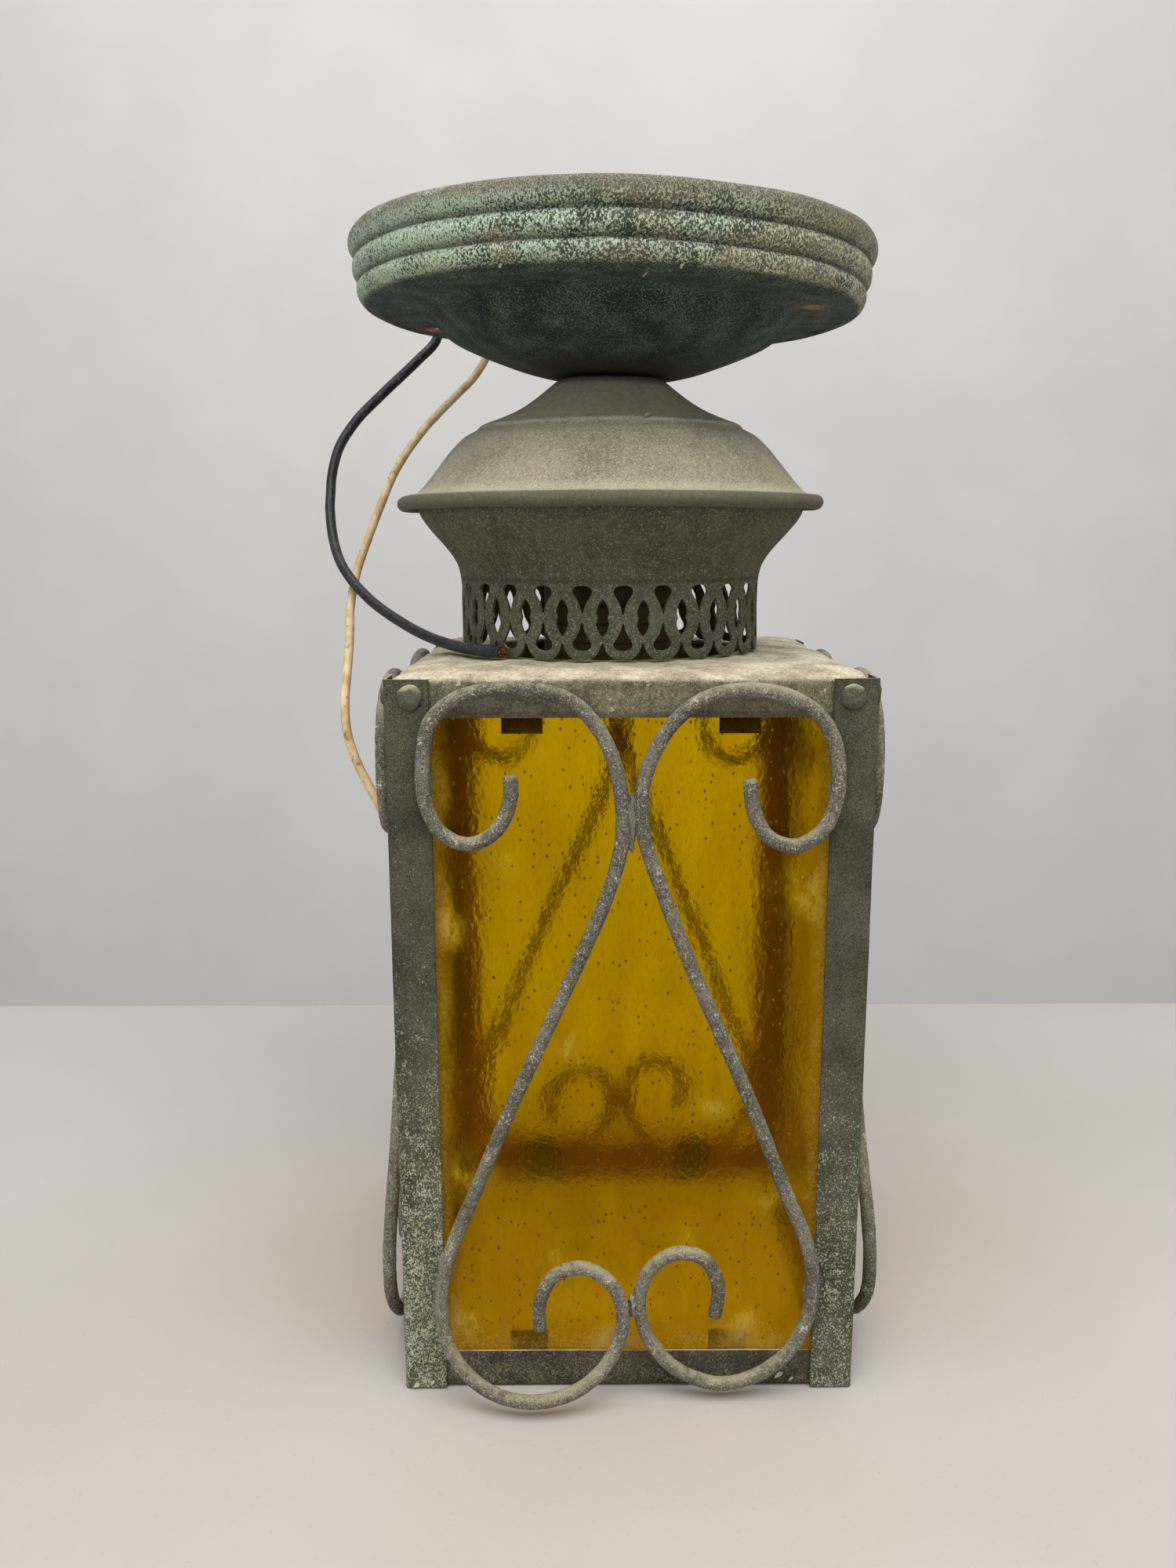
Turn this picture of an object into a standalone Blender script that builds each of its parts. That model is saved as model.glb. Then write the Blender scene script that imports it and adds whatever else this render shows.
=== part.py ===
"""Square hanging lantern: a glazed box with bent-rod scrolls under a pierced gallery, a round hood and a canopy.

It is all metal sheet and rod round four panes of coloured glass. A threaded stem runs from the canopy
through the hood to the lamp socket, and two stiff wires leave the top of the stem.
The stem's axis is the Z axis and the feet of the corner strips stand at z = 0.
"""

import math

import bmesh
import bpy
from mathutils import Matrix, Vector

MM = 0.001
GAP = 0.0003
CUTTER_DEPTH = 0.006
FULL_TURN = 2 * math.pi
SQUARE_CORNER = math.sqrt(2)

# Box: the glazed body below the hood.
BOX_HALF = 0.065
BOX_CENTRE = Vector((0.0046, 0, 0))
SHEET = 0.0008
STRIP_LEG = 0.012
STRIP_TOP = 0.2074
CAP_PLATE_TOP = 0.2100
CAP_HOLE_RADIUS = 0.040
RAIL_HALF = BOX_HALF - SHEET - GAP
SKIRT_BOTTOM = 0.1970
RAIL_TOP = 0.0112
FLANGE_HALF = 0.057
GLASS_THICKNESS = 0.0024
GLASS_FACE = RAIL_HALF - SHEET - GAP
GLASS_HALF_WIDTH = 0.060
GLASS_BOTTOM = SHEET + GAP
GLASS_TOP = 0.1993
CLIP_SHEET = 0.0006
CLIP_HALF_WIDTH = 0.0055
CLIP_OFFSET = 0.029
CLIP_REACH = 0.0046
RIVET_INSET = 0.007
RIVET_HEIGHT = 0.2027
RIVET_SHANK = 0.0016

# Stack on the stem's axis, from the hood to the canopy's rim.
HOOD_TOP = 0.2892
CANOPY_SEAT = 0.2899
CANOPY_LEAN = math.radians(1.05)
CANOPY_FLAT = 0.3076
CANOPY_HOLE_RING = 0.0607
CANOPY_HOLE_RADIUS = 0.0032
CANOPY_HOLE_ANGLE = math.radians(-24.5)
STEM_RADIUS = 0.0066
STEM_BORE = 0.0047
STEM_BOTTOM = 0.2612
STEM_TOP = 0.3040
CLEAR_BORE = STEM_RADIUS + GAP
WASHER_RADIUS = 0.0125
WASHER_BOTTOM = 0.2913
WASHER_TOP = 0.2925
NUT_CORNER = 0.0104
NUT_HEIGHT = 0.0041

# Pierced gallery between the box and the hood.
GALLERY_RADIUS = 0.0452
GALLERY_BOTTOM = CAP_PLATE_TOP + GAP
PIERCINGS = 25
PITCH_ANGLE = FULL_TURN / PIERCINGS
FIRST_COLUMN = math.radians(-90 + 4.8)

# Bent rods and wires.
ROD_RADIUS = 0.0020
BLACK_RADIUS = 0.00165
WHITE_RADIUS = 0.0014
LONGEST_ROD_STEP = 0.020
LONGEST_WIRE_STEP = 0.012
WELD = 0.00001

FACE_NAMES = ("front", "right", "back", "left")
CORNER_NAMES = ("front_left", "front_right", "back_right", "back_left")


def clear_scene():
    for item in list(bpy.data.objects):
        bpy.data.objects.remove(item, do_unlink=True)


def collection(name):
    made = bpy.data.collections.new(name)
    bpy.context.scene.collection.children.link(made)
    return made


def material(name, colour, roughness, metallic):
    made = bpy.data.materials.new(name)
    made.use_nodes = True
    shader = made.node_tree.nodes["Principled BSDF"]
    shader.inputs["Base Color"].default_value = (*colour, 1.0)
    shader.inputs["Roughness"].default_value = roughness
    shader.inputs["Metallic"].default_value = metallic
    return made


def place(name, data, home, finish, matrix=None):
    """Link a named object that shows data, with its material and its place."""
    made = bpy.data.objects.new(name, data)
    home.objects.link(made)
    if finish is not None and not data.materials:
        data.materials.append(finish)
    if matrix is not None:
        made.matrix_world = matrix
    return made


def line_mesh(name, points, closed):
    """A mesh that is only the outline of a profile: (radius, height) in millimetres, in the XZ plane."""
    verts = [(radius * MM, 0, height * MM) for radius, height in points]
    edges = [(i, i + 1) for i in range(len(points) - 1)]
    if closed:
        edges.append((len(points) - 1, 0))
    mesh = bpy.data.meshes.new(name)
    mesh.from_pydata(verts, edges, [])
    return mesh


def turned(name, points, home, finish, steps=40, closed=True, wall=0, matrix=None):
    """A turned solid. An open profile is a sheet of thickness wall, on the profile's inner side."""
    made = place(name, line_mesh(name, points, closed), home, finish, matrix)
    screw = made.modifiers.new("turn", "SCREW")
    screw.steps = steps
    screw.render_steps = steps
    screw.use_merge_vertices = True
    screw.merge_threshold = WELD
    screw.use_smooth_shade = steps > 4
    if wall:
        sheet = made.modifiers.new("sheet", "SOLIDIFY")
        sheet.thickness = wall
        sheet.offset = -1
        sheet.use_even_offset = True
    return made


def square_turned(name, points, home, finish, wall=0, closed=True):
    """A square ring with mitred corners: a profile of (half width, height) turned in four steps."""
    stretched = [(half * SQUARE_CORNER, height) for half, height in points]
    matrix = Matrix.Translation(BOX_CENTRE) @ Matrix.Rotation(math.pi / 4, 4, "Z")
    return turned(name, stretched, home, finish, 4, closed, wall, matrix)


def flat_outline(name, outlines, thickness, home, finish, matrix):
    """A flat plate: closed outlines in millimetres, the inner ones holes, extruded either side of its plane."""
    curve = bpy.data.curves.new(name, "CURVE")
    curve.dimensions = "2D"
    curve.fill_mode = "BOTH"
    curve.extrude = thickness / 2
    for points in outlines:
        spline = curve.splines.new("POLY")
        spline.points.add(len(points) - 1)
        spline.use_cyclic_u = True
        for point, (x, y) in zip(spline.points, points):
            point.co = (x * MM, y * MM, 0, 1)
    return as_mesh(place(name, curve, home, finish, matrix))


def polygon(sides, radius):
    """The corners of a regular polygon, in the units of its radius."""
    angles = [FULL_TURN * i / sides for i in range(sides)]
    return [(radius * math.cos(angle), radius * math.sin(angle)) for angle in angles]


def as_mesh(item):
    """Turn a curve object into a welded mesh object of the same name and place."""
    name = item.name
    matrix = item.matrix_world.copy()
    home = item.users_collection[0]
    bpy.context.view_layer.update()
    evaluated = item.evaluated_get(bpy.context.evaluated_depsgraph_get())
    mesh = bpy.data.meshes.new_from_object(evaluated)
    bpy.data.objects.remove(item, do_unlink=True)
    weld = bmesh.new()
    weld.from_mesh(mesh)
    bmesh.ops.remove_doubles(weld, verts=weld.verts, dist=WELD)
    bmesh.ops.recalc_face_normals(weld, faces=weld.faces)
    weld.to_mesh(mesh)
    weld.free()
    mesh.name = name
    return place(name, mesh, home, None, matrix)


def cut(item, cutter, label):
    """Subtract a cutter from an object with a Boolean modifier."""
    cutter.hide_render = True
    cutter.display_type = "WIRE"
    boolean = item.modifiers.new(label, "BOOLEAN")
    boolean.operation = "DIFFERENCE"
    boolean.object = cutter
    return item


def drill(name, radius, length, home, matrix, sides=12):
    """A round cutter along its own Z axis, centred on its place."""
    mesh = bpy.data.meshes.new(name)
    round_bar = bmesh.new()
    bmesh.ops.create_cone(
        round_bar, cap_ends=True, segments=sides, radius1=radius, radius2=radius, depth=length
    )
    round_bar.to_mesh(mesh)
    round_bar.free()
    return place(name, mesh, home, None, matrix)


def joined(name, items, home):
    """One mesh object holding several separate meshes where they stand; the originals are removed."""
    together = bmesh.new()
    for item in items:
        copy = item.data.copy()
        copy.transform(item.matrix_world)
        together.from_mesh(copy)
        bpy.data.meshes.remove(copy)
    mesh = bpy.data.meshes.new(name)
    together.to_mesh(mesh)
    together.free()
    for item in items:
        bpy.data.objects.remove(item, do_unlink=True)
    return place(name, mesh, home, None)


def face_matrix(face):
    """The frame of one side of the box: face 0 is the front, the others follow counter-clockwise."""
    return Matrix.Translation(BOX_CENTRE) @ Matrix.Rotation(face * math.pi / 2, 4, "Z")


def smooth_line(points, samples=12):
    """A centripetal curve through the points, as closely spaced points."""
    ends = [points[0] * 2 - points[1], *points, points[-1] * 2 - points[-2]]
    line = []
    for p0, p1, p2, p3 in zip(ends, ends[1:], ends[2:], ends[3:]):
        t1 = (p1 - p0).length ** 0.5
        t2 = t1 + (p2 - p1).length ** 0.5
        t3 = t2 + (p3 - p2).length ** 0.5
        for i in range(samples):
            t = t1 + (t2 - t1) * i / samples
            a1 = p0.lerp(p1, t / t1)
            a2 = p1.lerp(p2, (t - t1) / (t2 - t1))
            a3 = p2.lerp(p3, (t - t2) / (t3 - t2))
            b1 = a1.lerp(a2, t / t2)
            b2 = a2.lerp(a3, (t - t1) / (t3 - t1))
            line.append(b1.lerp(b2, (t - t1) / (t2 - t1)))
    return [*line, points[-1].copy()]


def thinned(line, most_turn, most_step):
    """Keep only the points that the bends need: none turns or runs further than the limits."""
    kept = [line[0]]
    heading = (line[1] - line[0]).normalized()
    for before, here, after in zip(line, line[1:], line[2:]):
        turn = heading.angle((after - here).normalized(), 0)
        if turn > most_turn or (here - kept[-1]).length > most_step:
            kept.append(here)
            heading = (after - here).normalized()
    return [*kept, line[-1]]


def rod(name, route, radius, home, finish, matrix, most_turn, most_step):
    """A round bar or wire: a bevelled poly line with filled ends, along a route in millimetres."""
    curve = bpy.data.curves.new(name, "CURVE")
    curve.dimensions = "3D"
    curve.bevel_depth = radius
    curve.bevel_resolution = 2
    curve.use_fill_caps = True
    points = thinned(smooth_line([Vector(p) * MM for p in route]), most_turn, most_step)
    spline = curve.splines.new("POLY")
    spline.points.add(len(points) - 1)
    for place_on_line, point in zip(spline.points, points):
        place_on_line.co = (*point, 1)
    return place(name, curve, home, finish, matrix)


# --- Hood, canopy and the stem that joins them -------------------------------------------------

def build_canopy(parts, cutters, finish):
    """The ceiling canopy: a shallow bowl whose wall steps in three beads, leaning a little on its stem."""
    outline = [(72.6, 327.4), (75.2, 327.4)]
    for outer, top, height in ((76.2, 327.4, 6.8), (75.0, 320.6, 6.8)):
        outline += [
            (outer - 0.2, top - 0.15 * height),
            (outer, top - 0.45 * height),
            (outer - 0.5, top - 0.75 * height),
            (outer - 1.8, top - height),
        ]
    outline += [(73.4, 312.6), (73.2, 310.2), (72.0, 308.2), (70.0, 307.2), (53.4, 307.2)]
    outline += [(51.8, 304.4), (47.5, 300.6), (41.0, 297.4), (33.5, 294.5), (26.0, 292.0), (17.4, 290.0)]
    outline += [(7.0, CANOPY_SEAT / MM)]
    seat = Matrix.Translation((0, 0, CANOPY_SEAT))
    lean = seat @ Matrix.Rotation(CANOPY_LEAN, 4, "Y") @ seat.inverted()
    canopy = turned("canopy", outline, parts, finish, 32, False, SHEET, lean)
    holes = []
    for side in (0, math.pi):
        turn = Matrix.Rotation(CANOPY_HOLE_ANGLE + side, 4, "Z")
        spot = turn @ Matrix.Translation((CANOPY_HOLE_RING, 0, CANOPY_FLAT))
        holes.append(drill("hole", CANOPY_HOLE_RADIUS, CUTTER_DEPTH, cutters, lean @ spot))
    bpy.context.view_layer.update()
    return cut(canopy, joined("cut_canopy_screws", holes, cutters), "screw holes")


def build_hood(parts, finish):
    """The hood: a flared neck on a shoulder, ending in a rolled rim."""
    outline = [(7.0, HOOD_TOP / MM), (15.8, HOOD_TOP / MM), (17.4, 288.2), (20.9, 285.4), (29.0, 280.0)]
    outline += [(38.8, 275.8), (39.4, 274.8), (43.5, 272.8), (50.3, 265.6), (56.6, 258.4), (59.2, 256.2)]
    roll_centre = (61.2, 254.0)
    roll = 2.8
    for degrees in (90, 45, 0, -45, -90, -140):
        angle = math.radians(degrees)
        outline.append((roll_centre[0] + roll * math.cos(angle), roll_centre[1] + roll * math.sin(angle)))
    return turned("hood", outline, parts, finish, 32, False, SHEET)


def build_gallery(parts, cutters, finish):
    """The gallery: a flared collar that runs down into a pierced band with a scalloped foot."""
    outline = [(57.6, 254.4), (58.0, 251.0), (53.8, 245.2), (49.0, 239.9), (46.2, 235.8)]
    outline += [(45.2, 231.4), (45.2, GALLERY_BOTTOM / MM)]
    gallery = turned("gallery", outline, parts, finish, 2 * PIERCINGS, False, SHEET)
    fan = [(-0.35, 0), (0.35, 0), (2.75, 5.7), (2.2, 7.0), (0, 7.6), (-2.2, 7.0), (-2.75, 5.7)]
    drop = [(x, 7.6 - z) for x, z in reversed(fan)]
    waisted = [(0, 0), (2.0, 3.0), (1.75, 5.2), (2.0, 7.6), (0, 10.4), (-2.0, 7.6), (-1.75, 5.2), (-2.0, 3.0)]
    notch = [(-1.9, -1.0), (1.9, -1.0), (0, 3.3)]
    shapes = (
        ("upper fan", fan, 223.1, 0),
        ("lower drop", drop, 212.8, 0),
        ("waisted slot", waisted, 216.7, 0.5),
        ("foot notch", notch, 210.3, 0.5),
    )
    for label, shape, height, shift in shapes:
        cutters_in_row = []
        for column in range(PIERCINGS):
            angle = FIRST_COLUMN + (column + shift) * PITCH_ANGLE
            spot = Matrix.Rotation(angle + math.pi / 2, 4, "Z")
            spot = spot @ Matrix.Translation((0, -GALLERY_RADIUS, height * MM))
            spot = spot @ Matrix.Rotation(math.pi / 2, 4, "X")
            cutters_in_row.append(flat_outline("punch", [shape], CUTTER_DEPTH, cutters, None, spot))
        bpy.context.view_layer.update()
        cut(gallery, joined("cut_" + label.replace(" ", "_"), cutters_in_row, cutters), label)
    return gallery


def build_stem(parts, brass, steel):
    """The hollow stem with its washer and nuts."""
    turned("stem_nipple", tube_profile(STEM_RADIUS, STEM_BORE, STEM_BOTTOM, STEM_TOP), parts, brass, 20)
    washer = tube_profile(WASHER_RADIUS, CLEAR_BORE, WASHER_BOTTOM, WASHER_TOP)
    turned("canopy_washer", washer, parts, steel, 20)
    outlines = [polygon(6, NUT_CORNER / MM), polygon(20, CLEAR_BORE / MM)]
    for name, bottom in (("canopy_locknut", 0.2928), ("hood_locknut", 0.2840)):
        middle = Matrix.Translation((0, 0, bottom + NUT_HEIGHT / 2))
        flat_outline(name, outlines, NUT_HEIGHT, parts, steel, middle)


def tube_profile(outer, inner, bottom, top):
    """The closed outline of a plain tube's wall, from metres to the millimetres that turned() takes."""
    corners = ((outer, top), (outer, bottom), (inner, bottom), (inner, top))
    return [(radius / MM, height / MM) for radius, height in corners]


def build_socket(parts, metal, insulator, brass):
    """The lamp socket: a domed cap on the stem, an insulating body, a screw shell and a centre contact."""
    bore = CLEAR_BORE / MM
    cap = [(8.8, 270), (8.8, 262.4), (14.0, 260.6), (18.4, 257.6), (20.4, 253.4), (20.4, 249.0)]
    cap += [(19.6, 249.0), (19.6, 253.0), (17.8, 256.8), (13.7, 259.6), (bore, 260.8), (bore, 270)]
    turned("socket_cap", cap, parts, metal, 24)
    body = [(16.0, 254.6), (19.2, 252.6), (19.2, 248.7), (20.2, 248.7), (20.2, 197.6), (19.2, 196.6)]
    body += [(15.2, 196.6), (15.2, 236.0), (4.0, 236.0), (4.0, 254.6)]
    turned("socket_body", body, parts, insulator, 24)
    turned("socket_screw_shell", tube_profile(0.0146, 0.0138, 0.1985, 0.2330), parts, brass, 24)
    contact = [(0, 235.7), (5.4, 235.7), (5.4, 235.0), (2.4, 233.6), (0, 233.6)]
    turned("socket_contact", contact, parts, brass, 12, False)


# --- The glazed box ----------------------------------------------------------------------------

def rivet_places():
    """The frame of each rivet: its Z axis points out of the box, on the outer face of a corner strip."""
    places = []
    for corner, name in enumerate(CORNER_NAMES):
        turn = face_matrix(corner)
        run = BOX_HALF - RIVET_INSET
        along_x = Matrix.Translation((-run, -BOX_HALF, RIVET_HEIGHT)) @ Matrix.Rotation(math.pi / 2, 4, "X")
        along_y = Matrix.Translation((-BOX_HALF, -run, RIVET_HEIGHT)) @ Matrix.Rotation(-math.pi / 2, 4, "Y")
        places.append((f"rivet_{name}_a", turn @ along_x))
        places.append((f"rivet_{name}_b", turn @ along_y))
    return places


def rivet_holes(cutters):
    """One cutter for the rivets' holes through the strips and the cap's skirt."""
    radius = RIVET_SHANK + GAP
    drills = [drill("hole", radius, CUTTER_DEPTH, cutters, matrix) for _, matrix in rivet_places()]
    bpy.context.view_layer.update()
    return joined("cut_rivets", drills, cutters)


def build_rivets(parts, finish):
    head = [(0, 1.9), (1.5, 1.7), (2.7, 1.2), (3.4, 0.3), (1.6, 0.3)]
    tail = [(1.6, -2.2), (2.4, -2.2), (2.2, -3.0), (0, -3.0)]
    for name, matrix in rivet_places():
        turned(name, head + tail, parts, finish, 12, False, 0, matrix)


def build_corner_strips(parts, finish, holes):
    half = BOX_HALF / MM
    leg = STRIP_LEG / MM
    sheet = SHEET / MM
    outline = [(-half, -half), (leg - half, -half), (leg - half, sheet - half)]
    outline += [(sheet - half, sheet - half), (sheet - half, leg - half), (-half, leg - half)]
    for corner, name in enumerate(CORNER_NAMES):
        matrix = face_matrix(corner) @ Matrix.Translation((0, 0, STRIP_TOP / 2))
        strip = flat_outline(f"corner_strip_{name}", [outline], STRIP_TOP, parts, finish, matrix)
        cut(strip, holes, "rivet holes")


def build_top_cap(parts, cutters, finish, holes):
    """The box's lid: a low crowned plate with a rounded edge and a skirt behind the corner strips."""
    rail = RAIL_HALF / MM
    plate = CAP_PLATE_TOP / MM
    outline = [(20, plate), (46, plate), (60.6, 208.7), (62.6, 208.0), (rail - 0.3, 207.0), (rail, 205.6)]
    outline += [(rail, SKIRT_BOTTOM / MM)]
    cap = square_turned("top_cap", outline, parts, finish, SHEET, False)
    vent = drill("cut_vent", CAP_HOLE_RADIUS, CUTTER_DEPTH, cutters, Matrix.Translation((0, 0, CAP_PLATE_TOP)), 32)
    cut(cap, vent, "vent")
    cut(cap, holes, "rivet holes")


def build_bottom_frame(parts, finish):
    """The open bottom: a square rail with a flange that carries the panes."""
    rail = RAIL_HALF / MM
    sheet = SHEET / MM
    flange = FLANGE_HALF / MM
    outline = [(rail, RAIL_TOP / MM), (rail, 0), (flange, 0), (flange, sheet), (rail - sheet, sheet)]
    outline += [(rail - sheet, RAIL_TOP / MM)]
    square_turned("bottom_frame", outline, parts, finish)


def build_glass(parts, finish):
    height = GLASS_TOP - GLASS_BOTTOM
    for face, name in enumerate(FACE_NAMES):
        mesh = bpy.data.meshes.new(f"glass_{name}")
        pane = bmesh.new()
        size = Matrix.Diagonal((2 * GLASS_HALF_WIDTH, GLASS_THICKNESS, height, 1))
        bmesh.ops.create_cube(pane, size=1, matrix=size)
        pane.to_mesh(mesh)
        pane.free()
        middle = Vector((0, GLASS_THICKNESS / 2 - GLASS_FACE, GLASS_BOTTOM + height / 2))
        place(f"glass_{name}", mesh, parts, finish, face_matrix(face) @ Matrix.Translation(middle))


def build_clips(parts, finish):
    """Bent tabs behind the panes, two at the top and two at the bottom of each side."""
    back = (BOX_HALF - GLASS_FACE + GLASS_THICKNESS + GAP) / MM
    sheet = CLIP_SHEET / MM
    reach = CLIP_REACH / MM
    foot = 1.1
    toe = 2.6
    roof = 205.7
    bend = 6.0
    low = SKIRT_BOTTOM / MM - reach
    high = RAIL_TOP / MM + reach
    upper = [(back, low), (back + sheet, low), (back + sheet, roof - sheet), (back + bend, roof - sheet)]
    upper += [(back + bend, roof), (back, roof)]
    lower = [(back, foot), (back + toe, foot), (back + toe, foot + sheet), (back + sheet, foot + sheet)]
    lower += [(back + sheet, high), (back, high)]
    upright = Matrix(((0, 0, 1, 0), (1, 0, 0, 0), (0, 1, 0, 0), (0, 0, 0, 1)))
    for face, side in enumerate(FACE_NAMES):
        for level, outline in (("top", upper), ("bottom", lower)):
            for hand, offset in (("left", -CLIP_OFFSET), ("right", CLIP_OFFSET)):
                spot = face_matrix(face) @ Matrix.Translation((offset, -BOX_HALF, 0)) @ upright
                name = f"clip_{side}_{level}_{hand}"
                flat_outline(name, [outline], 2 * CLIP_HALF_WIDTH, parts, finish, spot)


# --- Bent rods -----------------------------------------------------------------------------------
# A route is (across, up, proud) in millimetres on one side of the box: across to the right seen from
# outside, and proud out of the corner strips' outer plane.

LEFT_SCROLL = [
    (-31.8, 182.5, 2.4), (-32.2, 174.8, 2.4), (-36.3, 167.0, 2.4), (-43.5, 163.8, 2.4), (-50.6, 167.2, 2.4),
    (-54.4, 175.5, 2.4), (-54.8, 186.0, 2.4), (-52.6, 196.4, 2.4), (-46.0, 202.4, 2.4), (-36.5, 205.0, 2.4),
    (-26.5, 205.0, 2.4), (-17.0, 202.6, 2.4), (-9.4, 195.6, 2.4), (-4.6, 185.8, 2.4), (-2.5, 175.0, 2.4),
    (-2.6, 163.5, 2.4), (-6.3, 150.0, 2.4), (-13.7, 132.0, 2.4), (-24.0, 109.0, 2.4), (-33.4, 88.0, 2.6),
    (-42.8, 65.0, 3.0), (-49.6, 48.5, 3.4), (-53.0, 36.0, 4.0), (-53.4, 26.5, 4.8), (-51.4, 17.6, 6.2),
    (-46.0, 10.6, 8.6), (-38.0, 6.2, 11.2), (-29.0, 4.8, 12.6), (-20.0, 5.6, 12.0), (-11.4, 9.4, 10.4),
    (-4.8, 16.6, 8.4), (-1.9, 26.8, 6.4), (-4.6, 35.6, 4.6), (-13.0, 40.4, 3.2), (-21.4, 37.6, 2.6),
    (-25.4, 29.6, 2.4), (-25.6, 20.0, 2.4),
]
RIGHT_SCROLL = [
    (31.1, 181.5, 2.4), (32.2, 173.0, 2.4), (36.4, 165.6, 2.4), (43.0, 163.2, 2.4), (50.0, 166.6, 2.4),
    (53.8, 174.4, 2.4), (54.4, 183.0, 2.4), (52.8, 191.6, 2.4), (48.4, 198.4, 2.4), (40.4, 203.2, 2.4),
    (29.8, 204.8, 2.4), (19.4, 202.8, 2.4), (11.0, 196.4, 2.4), (5.2, 186.8, 2.4), (2.7, 177.2, 2.4),
    (3.4, 166.0, 2.4), (8.0, 151.8, 2.4), (16.0, 130.6, 2.4), (27.0, 105.0, 2.4), (36.2, 83.0, 2.4),
    (43.6, 63.6, 2.5), (50.0, 48.0, 2.8), (52.2, 34.0, 3.0), (49.2, 20.0, 3.4), (41.0, 9.6, 4.0),
    (27.0, 4.4, 4.4), (13.4, 9.0, 4.0), (5.2, 19.0, 3.2), (2.9, 29.2, 2.6), (5.6, 39.0, 2.4),
    (13.0, 44.4, 2.4), (21.2, 42.6, 2.4), (25.3, 34.6, 2.4), (24.5, 24.2, 2.4),
]
# Each side's left and right rod: the route, whether it is mirrored, and how far its low loop is bent out.
SCROLLS = {
    "front": ((LEFT_SCROLL, False, 0), (RIGHT_SCROLL, False, 0)),
    "right": ((RIGHT_SCROLL, True, 4.2), (RIGHT_SCROLL, False, 3.0)),
    "back": ((RIGHT_SCROLL, True, 2.0), (LEFT_SCROLL, True, 0)),
    "left": ((LEFT_SCROLL, False, 2.4), (RIGHT_SCROLL, False, 2.8)),
}
BEND_STARTS = 110.0
BEND_RISE = 80.0
BEND_ENDS = 2.0
BEND_FALL = 20.0


def bent_out(up):
    """The share of a low loop's lift at a height: it grows below BEND_STARTS and fades near the floor."""
    rise = (BEND_STARTS - up) / BEND_RISE
    fall = (up - BEND_ENDS) / BEND_FALL
    return max(0.0, min(1.0, rise, fall))


def build_scrolls(parts, finish):
    half = BOX_HALF / MM
    turns = math.radians(24)
    for face, side in enumerate(FACE_NAMES):
        for hand, (route, mirrored, lift) in zip(("left", "right"), SCROLLS[side]):
            flip = -1 if mirrored else 1
            path = [(flip * across, -half - proud - lift * bent_out(up), up) for across, up, proud in route]
            name = f"scroll_{side}_{hand}"
            rod(name, path, ROD_RADIUS, parts, finish, face_matrix(face), turns, LONGEST_ROD_STEP)


# --- Wires ---------------------------------------------------------------------------------------
# Routes in millimetres in the lantern's own frame, from inside the stem's bore.

BLACK_ROUTE = [
    (-1.8, -0.6, 297.0), (-1.8, -0.6, 303.0), (-2.6, 0.6, 311.0), (-6.2, 5.2, 319.0), (-14.0, 14.0, 326.8),
    (-25.0, 26.6, 332.4), (-36.6, 40.0, 335.0), (-47.0, 51.8, 333.4), (-54.0, 59.8, 327.4),
    (-57.0, 62.8, 319.0), (-58.6, 61.8, 310.6), (-64.6, 58.6, 303.7), (-77.4, 56.0, 291.7),
    (-85.6, 53.4, 283.2), (-91.4, 50.0, 273.6), (-93.8, 45.4, 260.6), (-93.0, 39.6, 249.6),
    (-90.8, 34.0, 241.0), (-87.4, 27.6, 234.8), (-82.0, 20.0, 229.0), (-74.8, 12.0, 223.4),
    (-65.8, 3.0, 218.4), (-54.8, -9.6, 214.2), (-43.0, -24.4, 212.2), (-31.0, -38.0, 212.0),
]
WHITE_ROUTE = [
    (1.5, 0.9, 297.0), (1.5, 0.9, 303.0), (1.2, 3.0, 311.0), (-1.4, 10.0, 319.8), (-7.0, 22.6, 328.0),
    (-14.6, 37.0, 333.4), (-23.0, 52.0, 335.4), (-31.0, 65.4, 333.6), (-37.4, 74.4, 327.0),
    (-40.4, 77.8, 318.0), (-42.0, 75.8, 308.2), (-46.8, 72.0, 299.6), (-52.8, 68.0, 293.0),
    (-64.0, 59.0, 280.0), (-72.0, 49.0, 266.5), (-76.4, 43.0, 255.1), (-80.4, 37.6, 243.4),
    (-83.4, 31.4, 232.6), (-84.4, 23.0, 221.4), (-83.4, 14.6, 212.6), (-82.8, 5.6, 203.2),
    (-83.0, 0.2, 193.4), (-82.2, -2.2, 184.4), (-79.0, -4.2, 174.6), (-74.8, -5.8, 166.6),
    (-70.4, -7.2, 158.0),
]


def build_wires(parts, black, tan):
    turns = math.radians(16)
    rod("wire_black", BLACK_ROUTE, BLACK_RADIUS, parts, black, None, turns, LONGEST_WIRE_STEP)
    rod("wire_white", WHITE_ROUTE, WHITE_RADIUS, parts, tan, None, turns, LONGEST_WIRE_STEP)


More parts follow.
